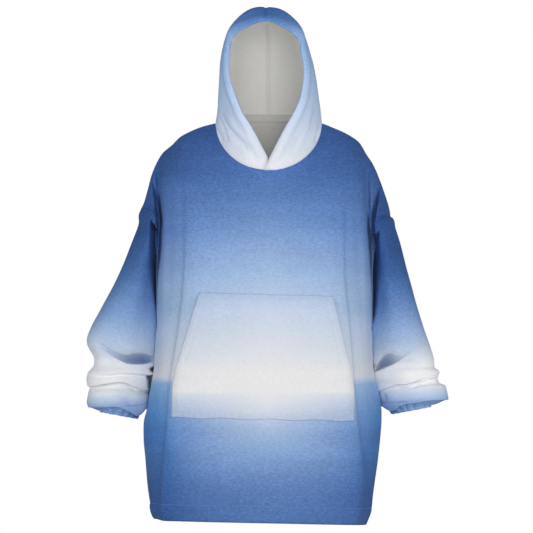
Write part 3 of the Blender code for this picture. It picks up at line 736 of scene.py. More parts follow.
for face, panel, steps, creases, waves, flat in (
    (-1, "front", (34, 62, 96, 116), FRONT_CREASES, FRONT_WAVES, (0.80, 1.00)),
    (1, "back", (26, 34, 60, 78), BACK_CREASES, BACK_WAVES, (0.80, 1.02)),
):
    across = across_panel(*steps[:2])
    points, facing, arm_part = body_panel(across, *steps[2:], face)
    x, z = points[..., 0], points[..., 2]
    gaps = [edge_gap(points, edge) for edge in ("first row", "first column", "last column")]
    near_edge = np.minimum.reduce(gaps)
    hem_gap = edge_gap(points, "last row")
    at_neck = 1.0 - ease(NECK_SHARE, NECK_SHARE + 0.03, np.abs(across))
    relief = panel_relief(x, z, creases, waves) * ease(0.0, 0.03, near_edge)
    relief += seam_dip(np.minimum(*gaps[1:])) + seam_dip(gaps[0]) * (0.2 + 0.8 * at_neck)

    # The hem: a row of stitches sunk in, puckers beside it, and a rounded edge
    pucker = np.sin(6.28 * x / PUCKER_PITCH + 2.0 * np.sin(x / 0.035))
    relief += seam_dip(hem_gap - HEM_TURN, *HEM_STITCH_DIP)
    relief += PUCKER_HEIGHT * pucker * np.exp(-(((hem_gap - HEM_TURN) / PUCKER_REACH) ** 2))
    relief += HEM_PROUD * (1.0 - ease(HEM_TURN - 0.006, HEM_TURN, hem_gap))
    relief += seam_dip(hem_gap, *HEM_EDGE_DIP)
    points = points + facing * relief[..., None]

    # The front folds back sharply beside the chest and under the arms
    if face < 0:
        before = points.copy()
        chest = points[..., 1] - crease_rise(x, z, CHEST_FOLDS) * ease(0.0, 0.012, near_edge)
        points[..., 1] = np.minimum(chest, np.maximum(points[..., 1], CHEST_FOLD_FRONT))
        for side in (-1.0, 1.0):
            tuck_in(points, side, 0.0, np.maximum(arm_part, 1.0 - ease(0.004, 0.020, near_edge)))
        facing = pushed_facing(points, before, facing)

    # The wall is thinner along the seams, and thinnest where neck and shoulder seams meet
    corners = points[0, np.abs(np.abs(across) - NECK_SHARE) < SAME]
    corner_gap = np.linalg.norm(points[:, :, None] - corners, axis=-1).min(axis=-1)
    wall = (CLOTH_WALL - ARM_THINNER * arm_part) * (0.15 + 0.85 * ease(0.0, 0.009, near_edge))
    wall = wall * (0.3 + 0.7 * ease(0.004, 0.030, corner_gap))
    doubled = HEM_DOUBLED * (1.0 - ease(HEM_TURN - 0.004, HEM_TURN + 0.002, hem_gap))
    # Past its side colour the print is painted shade on the flanks
    print_and_shade_across = np.minimum(np.abs(x - PRINT_MIDDLE_X) / PRINT_HALF_WIDTH, PRINT_SHADE_MOST_ACROSS)
    steeper = 1.2 + 1.3 * ease(*PRINT_STEEPER_DEPTHS, -z)
    print_and_shade_across = np.minimum(print_and_shade_across**steeper, PRINT_SHADE_MOST_LOW)
    # Over the arm the print is read higher, partly as painted shade
    piece = sewn_cloth(
        panel + "_panel",
        points,
        facing,
        wall,
        {"print_and_shade_down": z + PRINT_DROP_AND_ARM_SHADE * arm_part, "print_and_shade_side": print_and_shade_across},
        (body_print, wrong_side),
        doubled=doubled,
    )
    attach(piece, "root")
    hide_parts(panel)
    if face < 0:
        front_points, front_facing = points, facing
    else:
        back_points, back_facing = points, facing

# Hem stitches: the raw edge is turned up 40 mm inside and held by one row of lockstitch
# in polyester thread, which sinks into the pile and puckers the cloth a little.

# Stitches of the garment: pitch, length, half thickness
LONG_STITCH = (0.0044, 0.0031, 0.00055)
# Rings of one stitch: place along it, width, lift off the cloth
STITCH_RINGS = ((-0.5, 0.35, -0.3), (-0.25, 0.9, 0.35), (0.25, 0.9, 0.35), (0.5, 0.35, -0.3))
STITCH_SIDES = 6


def read_at(reach, values, at):
    """A point or direction along a line, at a distance from its start."""
    return np.array([np.interp(at, reach, values[:, k]) for k in range(3)])


def stitch_row(name, line, facing, look, stitch=LONG_STITCH):
    """Small rounded stitches laid end to end along a line on the cloth."""
    pitch, length, thick = stitch
    gaps = np.linalg.norm(np.diff(line, axis=0), axis=1)
    reach = np.concatenate([[0.0], np.cumsum(gaps)])
    count = int(reach[-1] / pitch)
    angles = np.linspace(0.0, 2.0 * math.pi, STITCH_SIDES, endpoint=False)
    vertices, faces = [], []
    for i in range(count):
        base = len(vertices)
        for share, wide, lift in STITCH_RINGS:
            at = (i + 0.5) * pitch + share * length
            centre = read_at(reach, line, at)
            up = unit(read_at(reach, facing, at))
            ahead = read_at(reach, line, at + MM) - centre
            if np.linalg.norm(ahead) < 1e-6:
                ahead = centre - read_at(reach, line, at - MM)
            beside = unit(np.cross(unit(ahead), up))
            around = np.cos(angles)[:, None] * beside + 0.8 * np.sin(angles)[:, None] * up
            ring = centre + up * (lift * thick) + wide * thick * around
            vertices.extend(ring.tolist())
        for r in range(len(STITCH_RINGS) - 1):
            for k in range(STITCH_SIDES):
                n = (k + 1) % STITCH_SIDES
                a, b = base + STITCH_SIDES * r + k, base + STITCH_SIDES * r + n
                faces.append((a, b, b + STITCH_SIDES, a + STITCH_SIDES))
        last = base + STITCH_SIDES * (len(STITCH_RINGS) - 1)
        faces.append(tuple(base + k for k in range(STITCH_SIDES - 1, -1, -1)))
        faces.append(tuple(last + k for k in range(STITCH_SIDES)))
    mesh = bpy.data.meshes.new(name)
    mesh.from_pydata(vertices, [], faces)
    mesh.shade_smooth()
    mesh.materials.append(look)
    row = bpy.data.objects.new(name, mesh)
    bpy.context.scene.collection.objects.link(row)
    return row


def thread(name, colour):
    """Twisted polyester sewing thread, a little shinier than the pile round it."""
    look, tree, shader = new_look(name)
    shader.inputs["Sheen Weight"].default_value = 0.1
    place = tree.nodes.new("ShaderNodeTexCoord")
    twist = tree.nodes.new("ShaderNodeTexWave")
    twist.bands_direction = "DIAGONAL"
    twist.inputs["Scale"].default_value = 900.0
    twist.inputs["Distortion"].default_value = 1.5
    join(tree, place, "Object", twist, "Vector")
    tone = toned(tree, twist, "Fac", dye(colour, 0.82), dye(colour, 1.05))
    tree.links.new(tone, shader.inputs["Base Color"])
    bumped(tree, twist, "Fac", shader, 0.4, 0.0002)
    roughened(tree, twist, "Fac", shader, 0.5, 0.7)
    return look


def row_at(points, facing, gap, distance):
    """A line over the cloth at a set distance from the edge that gap is measured from."""
    line, up = [], []
    for column in range(points.shape[1]):
        order = np.argsort(gap[:, column])
        line.append(read_at(gap[order, column], points[order, column], distance))
        up.append(read_at(gap[order, column], facing[order, column], distance))
    return np.array(line), unit(np.array(up))


hem_thread = thread("hem_thread", (112, 144, 196))
for panel, points, facing in (
    ("front", front_points, front_facing),
    ("back", back_points, back_facing),
):
    line, up = row_at(points, facing, edge_gap(points, "last row"), HEM_TURN)
    row = stitch_row(panel + "_hem_stitches", line, up, hem_thread)
    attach(row, "root")

# Pouch pocket: one trapezium of the same fleece on the lower front, its raw edges turned
# under. It is sewn down along the top, the foot and the short sides; the two slanted
# edges stay open for the hands.

POCKET_TOP = -0.371
POCKET_FOOT = -0.661
# The pocket was sewn on a little askew: each end is this much off level
POCKET_ASKEW = 0.004
# Least clearance to the front panel, and how far the pocket stands off between its seams
POCKET_GAP = 0.0004
POCKET_STANDS_OFF = 0.0022
# Rows of stitches, this far in from the edges and from the hand openings
POCKET_STITCH_IN = 0.007
OPENING_STITCH_IN = 0.022
# Depth and width of the dips at its stitches and edges, and the puckers beside the stitches
POCKET_STITCH_DIP = (0.0009, 0.0028)
POCKET_EDGE_DIP = (0.0014, 0.0018)
POCKET_PUCKER_HEIGHT = 0.0004
POCKET_PUCKER_SIZE = 0.0031
# Share of the side edge that is open for the hand
OPENING_SHARE = 0.58
# Side edges down the pocket: share down, right edge x, left edge x in mm
POCKET_EDGES = [(0.0, -154.0, 154.0), (0.6, -207.0, 196.0), (0.66, -213.0, 201.0), (1.0, -219.0, 205.0)]
POCKET_CREASES = [
    (1.6, 13.0, [(-118.0, -372.0), (-122.0, -420.0), (-140.0, -470.0)]),
    (-1.4, 12.0, [(-84.0, -372.0), (-92.0, -440.0), (-96.0, -520.0)]),
    (1.3, 14.0, [(-40.0, -372.0), (-46.0, -430.0), (-42.0, -500.0)]),
    (-1.2, 12.0, [(6.0, -372.0), (2.0, -420.0), (8.0, -470.0)]),
    (1.5, 15.0, [(48.0, -372.0), (54.0, -440.0), (50.0, -510.0)]),
    (-1.4, 12.0, [(92.0, -372.0), (98.0, -430.0), (112.0, -500.0)]),
    (1.4, 14.0, [(126.0, -374.0), (138.0, -430.0), (156.0, -490.0)]),
    (1.5, 14.0, [(-150.0, -640.0), (-140.0, -600.0), (-146.0, -560.0)]),
    (-1.5, 13.0, [(-104.0, -660.0), (-98.0, -620.0), (-104.0, -570.0)]),
    (1.5, 16.0, [(-52.0, -660.0), (-46.0, -615.0), (-54.0, -560.0)]),
    (-1.3, 14.0, [(0.0, -660.0), (8.0, -620.0), (2.0, -575.0)]),
    (1.5, 16.0, [(56.0, -660.0), (50.0, -610.0), (58.0, -560.0)]),
    (-1.5, 13.0, [(108.0, -662.0), (114.0, -620.0), (108.0, -570.0)]),
    (1.5, 14.0, [(158.0, -662.0), (150.0, -610.0), (160.0, -560.0)]),
]
POCKET_PRINT = [
    (-360.0, (180, 200, 229), (170, 191, 222)),
    (-408.0, (198, 211, 231), (186, 202, 227)),
    (-450.0, (208, 217, 231), (196, 208, 226)),
    (-501.0, (219, 222, 230), (208, 216, 227)),
    (-552.0, (230, 230, 231), (226, 227, 230)),
    (-596.0, (230, 230, 231), (229, 229, 231)),
    (-603.0, (227, 228, 231), (212, 219, 229)),
    (-618.0, (224, 226, 231), (196, 207, 227)),
    (-640.0, (212, 218, 229), (176, 193, 220)),
    (-668.0, (192, 205, 226), (158, 180, 214)),
]

rows = 86
columns = 104
samples = 401
share = np.linspace(0.0, 1.0, rows)
edges = by_height(POCKET_EDGES, share)
over = np.linspace(0.0, 1.0, columns)
x = edges[:, :1] + (edges[:, 1:] - edges[:, :1]) * over
z = (POCKET_TOP + (POCKET_FOOT - POCKET_TOP) * share)[:, None] - POCKET_ASKEW * (2.0 * over - 1.0)[None, :]
z = z + 0.0014 * np.sin(x / 0.017 + 1.0) * ease(0.86, 1.0, share)[:, None]

# It lies on the form of the front panel
fine = np.linspace(-1.0, 1.0, samples)
y = np.zeros(x.shape)
for i in range(rows):
    wide, deep = level_cut(fine, np.full(samples, z[i].mean()), -1)
    y[i] = np.interp(x[i], wide, deep)
points = np.stack([x, y, z], axis=-1)
facing = grid_facing(points)
facing *= -np.sign(facing[..., 1:2].mean())

# It is flat where it is sewn down, and the slanted edges stand off a little
sides = np.minimum(edge_gap(points, "first column"), edge_gap(points, "last column"))
ends = np.minimum(edge_gap(points, "first row"), edge_gap(points, "last row"))
open_edge = (1.0 - ease(0.56, 0.64, share))[:, None] * np.ones_like(x)
sewn = np.minimum(ends, sides + 0.05 * open_edge)
lift = POCKET_GAP + POCKET_STANDS_OFF * ease(0.0, 0.02, sewn)
lift += POCKET_STANDS_OFF * open_edge * np.exp(-((sides / 0.02) ** 2)) * ease(0.0, 0.04, ends)
relief = panel_relief(x, z, FRONT_CREASES, FRONT_WAVES)
relief += crease_rise(x, z, POCKET_CREASES) * ease(0.0, 0.012, sewn)
stitched = np.minimum(ends, sides)
relief += seam_dip(stitched - POCKET_STITCH_IN, *POCKET_STITCH_DIP)
pucker = np.sin(x / POCKET_PUCKER_SIZE + 2.0 * np.sin(x / 0.02))
relief += POCKET_PUCKER_HEIGHT * pucker * np.exp(-(((ends - POCKET_STITCH_IN) / 0.01) ** 2))
relief += seam_dip(stitched, *POCKET_EDGE_DIP)
points = points + facing * (lift + CLOTH_WALL + relief)[..., None]
pocket_print = printed_fleece("pocket_fleece", POCKET_PRINT)
piece = sewn_cloth(
    "pouch_pocket",
    points,
    facing,
    np.full(x.shape, CLOTH_WALL),
    {"print_and_shade_down": z, "print_and_shade_side": np.clip(np.abs(x - PRINT_MIDDLE_X) / PRINT_HALF_WIDTH, 0.0, 1.0)},
    (pocket_print, wrong_side),
)
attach(piece, "root")
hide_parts("pocket")

pocket_thread = thread("pocket_thread", (196, 206, 224))
for place, edge in (("top", "first row"), ("foot", "last row")):
    line, up = row_at(points, facing, edge_gap(points, edge), POCKET_STITCH_IN)
    row = stitch_row("pocket_stitches_" + place, line[3:-3], up[3:-3], pocket_thread)
    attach(row, "root")
turned = np.swapaxes(points, 0, 1)
turned_up = np.swapaxes(facing, 0, 1)
for place, edge in (("right", "first row"), ("left", "last row")):
    for distance, label, last in (
        (POCKET_STITCH_IN, "", -3),
        (OPENING_STITCH_IN, "_opening", int(OPENING_SHARE * rows)),
    ):
        line, up = row_at(turned, turned_up, edge_gap(turned, edge), distance)
        row = stitch_row("pocket_stitches_" + place + label, line[3:last], up[3:last], pocket_thread)
        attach(row, "root")

# Sleeves: two wide tubes of the same fleece, set into the dropped armholes. They are
# pushed up, so the lower half bags over itself in uneven tiers above each cuff.

SLEEVE_SET_BACK = 0.040
SLEEVE_COLUMNS = 140
# The sleeve stands off the panels by this much at the underarm
UNDERARM_EASE = 0.004
# Gentle waves over a whole sleeve
SLEEVE_WAVE_HEIGHT = 0.0011
SLEEVE_WAVE_SIZE = 0.09
# No fold goes further back than this
FOLD_DEEPEST = 0.060
# Painted shade in the deep folds: there the print is read higher up, this much per metre pushed in, which
# makes it darker and bluer
FOLD_PAINTED_SHADE_SHIFT = 1.1
# The seam allowance at the armhole
ALLOWANCE = 0.006
# Rings down the sleeves: outer x, outer height, inner x, inner height, half depth in mm
SLEEVE_RIGHT = [
    (-294.7, -177.1, -256.3, -268.0, 88.0), (-296.9, -207.4, -257.6, -286.6, 88.0),
    (-313.4, -252.8, -259.6, -309.9, 88.0), (-335.5, -305.2, -255.0, -347.2, 87.0),
    (-361.2, -361.2, -255.0, -382.1, 85.0), (-386.8, -410.1, -254.5, -417.1, 83.0),
    (-407.8, -447.4, -254.5, -449.7, 81.0), (-418.0, -480.0, -255.4, -480.0, 80.0),
    (-411.9, -501.0, -258.5, -501.0, 76.0), (-401.5, -521.9, -260.8, -521.9, 69.0),
    (-402.6, -538.2, -262.4, -535.9, 71.0), (-416.4, -556.9, -263.8, -549.9, 77.0),
    (-418.0, -570.9, -266.6, -566.2, 78.0), (-413.3, -587.2, -270.0, -587.2, 71.0),
    (-414.7, -601.1, -272.4, -598.8, 75.0), (-414.3, -619.8, -275.4, -615.1, 73.0),
    (-408.9, -631.4, -278.5, -626.8, 64.0),
]
SLEEVE_LEFT = [
    (291.3, -188.7, 254.0, -272.6, 88.0), (298.2, -202.7, 255.0, -288.9, 88.0),
    (311.1, -247.0, 254.6, -314.6, 88.0), (327.6, -309.9, 247.6, -351.8, 87.0),
    (342.5, -363.5, 247.2, -386.8, 85.0), (355.3, -407.8, 247.0, -419.4, 83.0),
    (368.1, -452.0, 247.0, -454.4, 81.0), (382.1, -491.6, 247.0, -487.0, 79.0),
    (391.4, -521.9, 249.2, -510.3, 76.0), (393.3, -541.7, 251.2, -528.9, 70.0),
    (402.1, -549.9, 253.0, -547.6, 74.0), (404.5, -568.5, 256.0, -566.2, 75.0),
    (406.6, -576.7, 259.0, -580.2, 70.0), (419.4, -583.7, 263.0, -596.5, 74.0),
    (421.7, -598.8, 268.4, -610.5, 73.0), (419.4, -614.0, 271.2, -622.1, 66.0),
]
# Tiers: overhang and its height, tuck and its height in mm, then x, height and strength
TIERS_RIGHT = [
    (-8.0, 21.0, -2.6, 13.0, [
        (-416.0, -480.0, 0.0), (-390.0, -490.0, 0.15), (-381.0, -497.0, 0.5), (-366.0, -508.0, 0.8),
        (-348.0, -519.0, 0.9), (-323.0, -530.5, 1.2), (-292.0, -533.5, 1.7), (-262.0, -529.0, 1.8),
    ]),
    (3.6, 13.0, 5.4, 8.5, [
        (-412.0, -557.0, 0.5), (-391.0, -558.0, 0.9), (-366.0, -559.0, 1.0), (-343.0, -556.0, 0.9),
        (-320.0, -556.0, 0.9), (-299.0, -558.0, 1.1), (-270.0, -560.0, 1.3),
    ]),
    (6.0, 13.0, 10.0, 10.5, [
        (-414.0, -587.0, 1.1), (-398.0, -584.0, 1.2), (-377.0, -580.0, 1.0), (-343.0, -577.0, 0.6),
        (-326.0, -579.0, 0.7), (-306.0, -586.0, 1.2), (-284.0, -596.0, 1.9), (-270.0, -601.0, 2.0),
    ]),
]
TIERS_LEFT = [
    (-8.0, 20.0, -2.6, 14.0, [
        (252.0, -549.0, 1.8), (277.0, -539.0, 1.8), (294.0, -531.0, 1.1), (310.0, -522.0, 0.55),
        (329.0, -509.0, 0.35), (344.0, -497.0, 0.3), (363.0, -490.0, 0.2), (385.0, -488.0, 0.0),
    ]),
    (6.0, 16.0, 9.5, 8.5, [
        (255.0, -600.0, 1.0), (264.0, -597.0, 1.2), (287.0, -588.5, 1.2),
        (308.0, -581.4, 1.1), (329.5, -576.5, 0.9), (358.0, -569.0, 0.5),
        (380.0, -563.0, 0.45), (397.0, -558.0, 0.8), (408.0, -557.0, 0.8),
    ]),
    (5.0, 12.0, 9.0, 9.5, [
        (296.0, -588.0, 0.0), (315.0, -585.7, 0.8), (329.5, -583.6, 1.1), (343.7, -578.6, 1.1),
        (365.0, -573.0, 1.1), (386.0, -567.3, 1.1), (404.0, -564.5, 1.1),
    ]),
]
# The deep fold over the first tier: x, upper line, lower line, depth in mm
FOLD_RIGHT = [
    (-396.0, -478.0, -488.0, 0.0), (-381.0, -484.0, -496.0, 7.0), (-366.0, -496.0, -508.0, 10.0),
    (-343.0, -508.0, -521.5, 18.0), (-323.0, -513.0, -530.5, 32.0), (-306.0, -508.0, -532.5, 48.0),
    (-285.0, -508.0, -532.5, 56.0), (-265.0, -515.0, -528.0, 44.0), (-250.0, -520.0, -526.0, 20.0),
]
FOLD_LEFT = [
    (246.0, -545.0, -552.0, 20.0), (253.5, -543.0, -550.5, 34.0), (263.0, -528.0, -547.0, 50.0),
    (270.0, -518.0, -543.5, 52.0), (278.0, -510.0, -540.0, 46.0), (291.0, -509.0, -534.5, 28.0),
    (302.0, -515.0, -529.0, 10.0), (318.0, -510.0, -518.0, 3.0), (344.0, -488.0, -496.0, 0.0),
]
# Where the second tier of the right sleeve turns back beside the body: height, how far out in mm
TIER_END = [
    (-606.0, 268.0), (-597.0, 276.0), (-575.0, 278.0), (-563.0, 281.0), (-560.5, 280.0),
    (-559.0, 262.0), (-553.0, 262.0), (-551.5, 270.0), (-546.0, 273.5), (-541.0, 270.0), (-538.0, 260.0),
]
# Heights between which the tier turns back, in mm, and how steeply
TIER_END_FROM = (-606.0, -602.0)
TIER_END_TO = (-542.0, -538.0)
TIER_END_SLOPE = 6.0
# How far the last tier hangs below the cuff seam, by x, in mm
HANG_RIGHT = [
    (-420.0, 3.0), (-398.0, 3.5), (-380.0, 2.0), (-354.0, 2.5), (-336.0, 8.0), (-320.0, 16.0),
    (-310.0, 22.0), (-302.0, 27.0), (-292.0, 25.0), (-284.0, 17.0), (-276.0, 6.0),
]
HANG_LEFT = [
    (268.0, 8.0), (281.0, 18.0), (292.0, 23.0), (301.0, 20.0), (310.0, 13.0), (330.0, 7.5),
    (350.0, 7.0), (370.0, 3.5), (390.0, 2.5), (422.0, 3.5),
]
# The lip of the last tier: share of its hang, share of how far it stands proud, quarter turns
TIER_LIP = (
    (0.30, 1.05, 0.0), (0.60, 1.08, 0.0), (0.85, 1.0, 0.25), (0.97, 0.82, 0.6), (1.0, 0.58, 1.0),
    (0.94, 0.38, 1.5), (0.70, 0.27, 2.0), (0.30, 0.22, 2.0), (0.0, 0.12, 2.0),
)
# Its wall, and the walls of the three rows above it
LIP_WALL = 0.0015
LIP_WALLS_ABOVE = (0.0027, 0.0023, 0.0018)
# Loose creases down the upper arms and across the tiers
SLEEVE_CREASES_RIGHT = [
    (5.0, 12.0, [(-345.0, -490.0), (-310.0, -496.0), (-285.0, -496.0), (-240.0, -502.0)]),
    (-2.6, 9.0, [(-413.0, -492.0), (-402.0, -512.0), (-390.0, -534.0)]),
    (2.4, 10.0, [(-400.0, -486.0), (-390.0, -510.0), (-376.0, -534.0)]),
    (-2.0, 18.0, [(-316.0, -240.0), (-332.0, -330.0), (-352.0, -410.0)]),
    (2.2, 20.0, [(-290.0, -260.0), (-296.0, -350.0), (-312.0, -450.0)]),
    (-1.8, 16.0, [(-272.0, -320.0), (-274.0, -400.0), (-282.0, -470.0)]),
    (1.8, 18.0, [(-352.0, -360.0), (-376.0, -430.0), (-384.0, -480.0)]),
    (1.6, 6.0, [(-364.0, -594.0), (-345.0, -600.0), (-322.0, -607.0)]),
    (-1.4, 6.0, [(-392.0, -600.0), (-380.0, -612.0), (-372.0, -628.0)]),
    (-1.6, 7.0, [(-340.0, -604.0), (-326.0, -614.0), (-318.0, -626.0)]),
]
SLEEVE_CREASES_LEFT = [
    (4.0, 10.0, [(246.0, -534.0), (256.0, -516.0), (270.0, -502.0), (292.0, -498.0), (312.0, -504.0)]),
    (2.4, 18.0, [(272.0, -250.0), (284.0, -340.0), (296.0, -440.0)]),
    (-2.0, 16.0, [(300.0, -260.0), (318.0, -350.0), (332.0, -430.0)]),
    (1.8, 16.0, [(330.0, -340.0), (350.0, -420.0), (366.0, -480.0)]),
    (-1.8, 14.0, [(262.0, -330.0), (266.0, -410.0), (272.0, -470.0)]),
    (1.4, 12.0, [(340.0, -505.0), (356.0, -520.0), (380.0, -530.0)]),
    (-1.6, 12.0, [(300.0, -540.0), (330.0, -540.0), (362.0, -545.0)]),
    (2.0, 10.0, [(290.0, -556.0), (318.0, -552.0), (350.0, -553.0)]),
    (-8.0, 4.5, [(275.0, -600.0), (279.0, -612.0), (285.0, -630.0)]),
    (1.8, 8.0, [(364.0, -590.0), (384.0, -598.0), (400.0, -606.0)]),
    (-1.8, 7.0, [(308.0, -612.0), (330.0, -604.0), (352.0, -600.0)]),
]
SLEEVE_PRINT_RIGHT = [
    (-170.0, (56, 90, 150)),
    (-225.0, (58, 92, 152)),
    (-266.0, (63, 99, 157)),
    (-303.0, (74, 111, 171)),
    (-340.0, (90, 127, 184)),
    (-377.0, (110, 146, 200)),
    (-415.0, (130, 163, 211)),
    (-452.0, (158, 184, 222)),
    (-489.0, (188, 206, 231)),
    (-522.0, (222, 229, 240)),
    (-552.0, (242, 243, 246)),
    (-585.0, (240, 240, 240)),
    (-603.0, (224, 230, 238)),
    (-615.0, (196, 212, 235)),
    (-632.0, (146, 175, 218)),
]
SLEEVE_PRINT_LEFT = [
    (-170.0, (56, 90, 150)),
    (-240.0, (56, 91, 151)),
    (-284.0, (58, 94, 154)),
    (-322.0, (67, 104, 163)),
    (-359.0, (85, 123, 181)),
    (-396.0, (108, 144, 200)),
    (-433.0, (136, 167, 215)),
    (-471.0, (164, 189, 225)),
    (-500.0, (192, 208, 231)),
    (-530.0, (230, 234, 242)),
    (-560.0, (250, 250, 250)),
    (-583.0, (243, 244, 247)),
    (-596.0, (216, 227, 243)),
    (-610.0, (184, 206, 237)),
    (-625.0, (132, 166, 214)),
]


def sleeve_rings(table, angles, keys, back, flatter):
    """Flattened rings down a sleeve: 0 is the outer edge, a quarter turn the front."""
    values = follow(np.arange(len(table)), np.array(table) * MM, keys)
    outer_x, outer_z, inner_x, inner_z, depth = (values[:, i : i + 1] for i in range(5))
    share = (1.0 - np.cos(angles)) / 2.0
    x = outer_x + (inner_x - outer_x) * share
    z = outer_z + (inner_z - outer_z) * share
    swing = np.sign(np.sin(angles)) * np.abs(np.sin(angles)) ** (1.0 - flatter[:, None])
    return np.stack([x, back[:, None] - depth * swing, z], axis=-1)


def deep_fold(points, facing, table):
    """Sink the cloth between two lines, deeper downwards, up to the sharp lower line."""
    x, y, z = points[..., 0], points[..., 1].copy(), points[..., 2]
    keys, *columns = np.array(table).T * MM
    upper, lower, depth = (np.interp(x, keys, column) for column in columns)
    share = np.clip((upper - z) / (upper - lower), 0.0, 1.0)
    out = 1.0 - ease(0.0, 0.0022, lower - z)
    front = 1.0 - ease(-0.01, 0.03, y)
    points[..., 1] += depth * share**0.8 * out * front
    lip = ease(0.0, 0.004, depth) * (1.0 - ease(0.004, 0.012, lower - z)) * (z < upper) * front
    return unit(facing * (1.0 - lip[..., None]) + np.array([0.0, -0.8, 0.6]) * lip[..., None])


def tier_relief(x, z, tiers):
    """Each tier bags out above its line and is tucked in sharply below it."""
    total = np.zeros(x.shape)
    for over, over_height, tuck, tuck_height, line in tiers:
        line = np.array(line) * [MM, MM, 1.0]
        height = follow(line[:, 0], line[:, 1:], x)
        above = z - height[..., 0]
        out = over * np.exp(-((above / MM / over_height) ** 2))
        into = tuck * np.exp(-((above / MM / tuck_height) ** 2))
        turn = ease(-0.0022, 0.0022, above)
        total += (out * turn - into * (1.0 - turn)) * MM * height[..., 1]
    return total


for side, label, table, tiers, fold, creases, prints, armhole, hang in (
    (
        -1.0, "right", SLEEVE_RIGHT, TIERS_RIGHT, FOLD_RIGHT,
        SLEEVE_CREASES_RIGHT, SLEEVE_PRINT_RIGHT, ARMHOLE_RIGHT, HANG_RIGHT,
    ),
    (
        1.0, "left", SLEEVE_LEFT, TIERS_LEFT, FOLD_LEFT,
        SLEEVE_CREASES_LEFT, SLEEVE_PRINT_LEFT, ARMHOLE_LEFT, HANG_LEFT,
    ),
):
    # The seam at the armhole, and from there the rings down to the cuff
    angles = np.linspace(0.0, 2.0 * math.pi, SLEEVE_COLUMNS, endpoint=False)
    keys = np.concatenate([np.linspace(0.0, 6.0, 60)[:-1], np.linspace(6.0, len(table) - 1.0, 130)])
    back = SLEEVE_SET_BACK * ease(0.5, 4.0, keys)
    points = sleeve_rings(table, angles, keys, back, 0.3 * ease(1.0, 4.0, keys))
    outer_x, outer_z, inner_x, inner_z = np.array(armhole) * MM
    turn = (1.0 - np.cos(angles)) / 2.0
    bulge = np.abs(np.sin(angles)) ** 1.5 * (1.0 + np.cos(angles))
    seam = np.stack(
        [
            outer_x + (inner_x - outer_x) * turn - side * ARMHOLE_BOW_X * bulge,
            -ARMHOLE_HALF_DEPTH * np.sin(angles),
            outer_z + (inner_z - outer_z) * turn + ARMHOLE_BOW_Z * bulge,
        ],
        axis=-1,
    )
    seam[:, 0] -= side * UNDERARM_EASE * np.maximum(-np.cos(angles), 0.0) ** 8
    points = points + (seam - points[0]) * (1.0 - ease(0.0, 2.5, keys))[:, None, None]
    facing = grid_facing(points, True) * side
    facing[0] = armhole_facing(angles, side)
    row = table[-1]
    chord = unit(np.array([-(row[3] - row[1]), 0.0, row[2] - row[0]]))
    facing[-1] = unit(facing[-1] - (facing[-1] @ chord)[:, None] * chord)

    # Tiers, creases and waves, and the dips at the seams; the tiers wander behind
    behind = np.maximum(-np.sin(angles), 0.0)[None, :]
    x, z = points[..., 0], points[..., 2] + 0.009 * behind * np.sin(points[..., 0] / 0.024)
    flank = 0.30 + 0.70 * np.abs(np.sin(angles))[None, :]
    relief = tier_relief(x, z, tiers) * flank + crease_rise(x, z, creases) * flank
    waves = soft_waves(x + 0.7 * points[..., 1], z, SLEEVE_WAVE_SIZE, 1.3 + side)
    relief += SLEEVE_WAVE_HEIGHT * waves
    gap = edge_gap(points, "first row")
    foot = edge_gap(points, "last row")
    relief = relief * ease(0.0, 0.03, gap) * ease(0.0, 0.010, foot)
    relief += seam_dip(gap, 0.0016, 0.004) + 0.0022 * np.exp(-(((gap - 0.014) / 0.010) ** 2))
    inward = np.maximum(-np.cos(angles), 0.0)[None, :] ** 6
    relief += 0.008 * inward * ease(0.0, 0.014, gap) * ease(0.0, 0.03, foot)
    proud = 0.006 + 0.003 * np.abs(np.sin(angles))
    relief += proud[None, :] * np.exp(-((foot / 0.016) ** 2))
    points = points + facing * relief[..., None]

    # The tuck under the arm and the deep fold over the first tier
    before = points.copy()
    far_half = ease(0.02, 0.08, -np.sin(angles))[None, :] * ease(0.0, 0.010, gap)
    tuck_in(points, side, FOLD_DEEPEST * ease(0.0, 0.06, gap) + 0.008 * far_half)
    unfolded = points[..., 1].copy()
    facing = deep_fold(points, facing, fold)
    folded = points[..., 1] - unfolded
    if side < 0:
        height = points[..., 2] / MM
        into = np.interp(height, *np.array(TIER_END).T) * MM + points[..., 0]
        into = np.maximum(into, 0.0) * TIER_END_SLOPE
        into = into * ease(*TIER_END_FROM, height) * (1.0 - ease(*TIER_END_TO, height))
        points[..., 1] += np.minimum(into, np.maximum(FOLD_DEEPEST - points[..., 1], 0.0))
    facing = np.where(far_half[..., None] > 0.0, facing, pushed_facing(points, before, facing))

    # Heights in the print: level rings lower down and bluer towards the body, with painted light low on
    # the side towards the body and painted shade in the folds
    low = ease(7.0, 11.0, keys)[:, None]
    level = points[..., 2] * (1.0 - low) + points[..., 2].mean(axis=1)[:, None] * low
    middle = ease(4.5, 7.0, keys) * (1.0 - ease(9.0, 11.5, keys))
    level = level - 0.014 * middle[:, None] * ease(0.2, 0.95, np.cos(angles))
    # Painted light: low down, the side towards the body reads the print higher, which lightens the blue
    # over the cuff where the body shades it
    level += (0.004 if side > 0 else 0.014) * low * ease(0.3, 0.9, -np.cos(angles))
    # Painted shade: the folds read the print from higher up, so they are darker
    level += FOLD_PAINTED_SHADE_SHIFT * folded

    # The last tier hangs over the cuff and turns back up to its seam
    seam_ring, out = points[-1] - facing[-1] * proud[:, None], facing[-1]
    drop = np.interp(seam_ring[:, 0], *np.array(hang).T * MM)
    drop = drop * (1.0 - behind[0]) + behind[0] * (0.012 + 0.005 * np.sin(5.0 * angles))
    lip, lip_facing = [], []
    for share, proud_share, turned in TIER_LIP:
        ring = seam_ring + out * (proud * proud_share)[:, None]
        ring[:, 2] -= drop * share
        lip.append(ring)
        way = 0.5 * math.pi * turned
        lip_facing.append(out * math.cos(way) + np.array([0.0, 0.0, -1.0]) * math.sin(way))

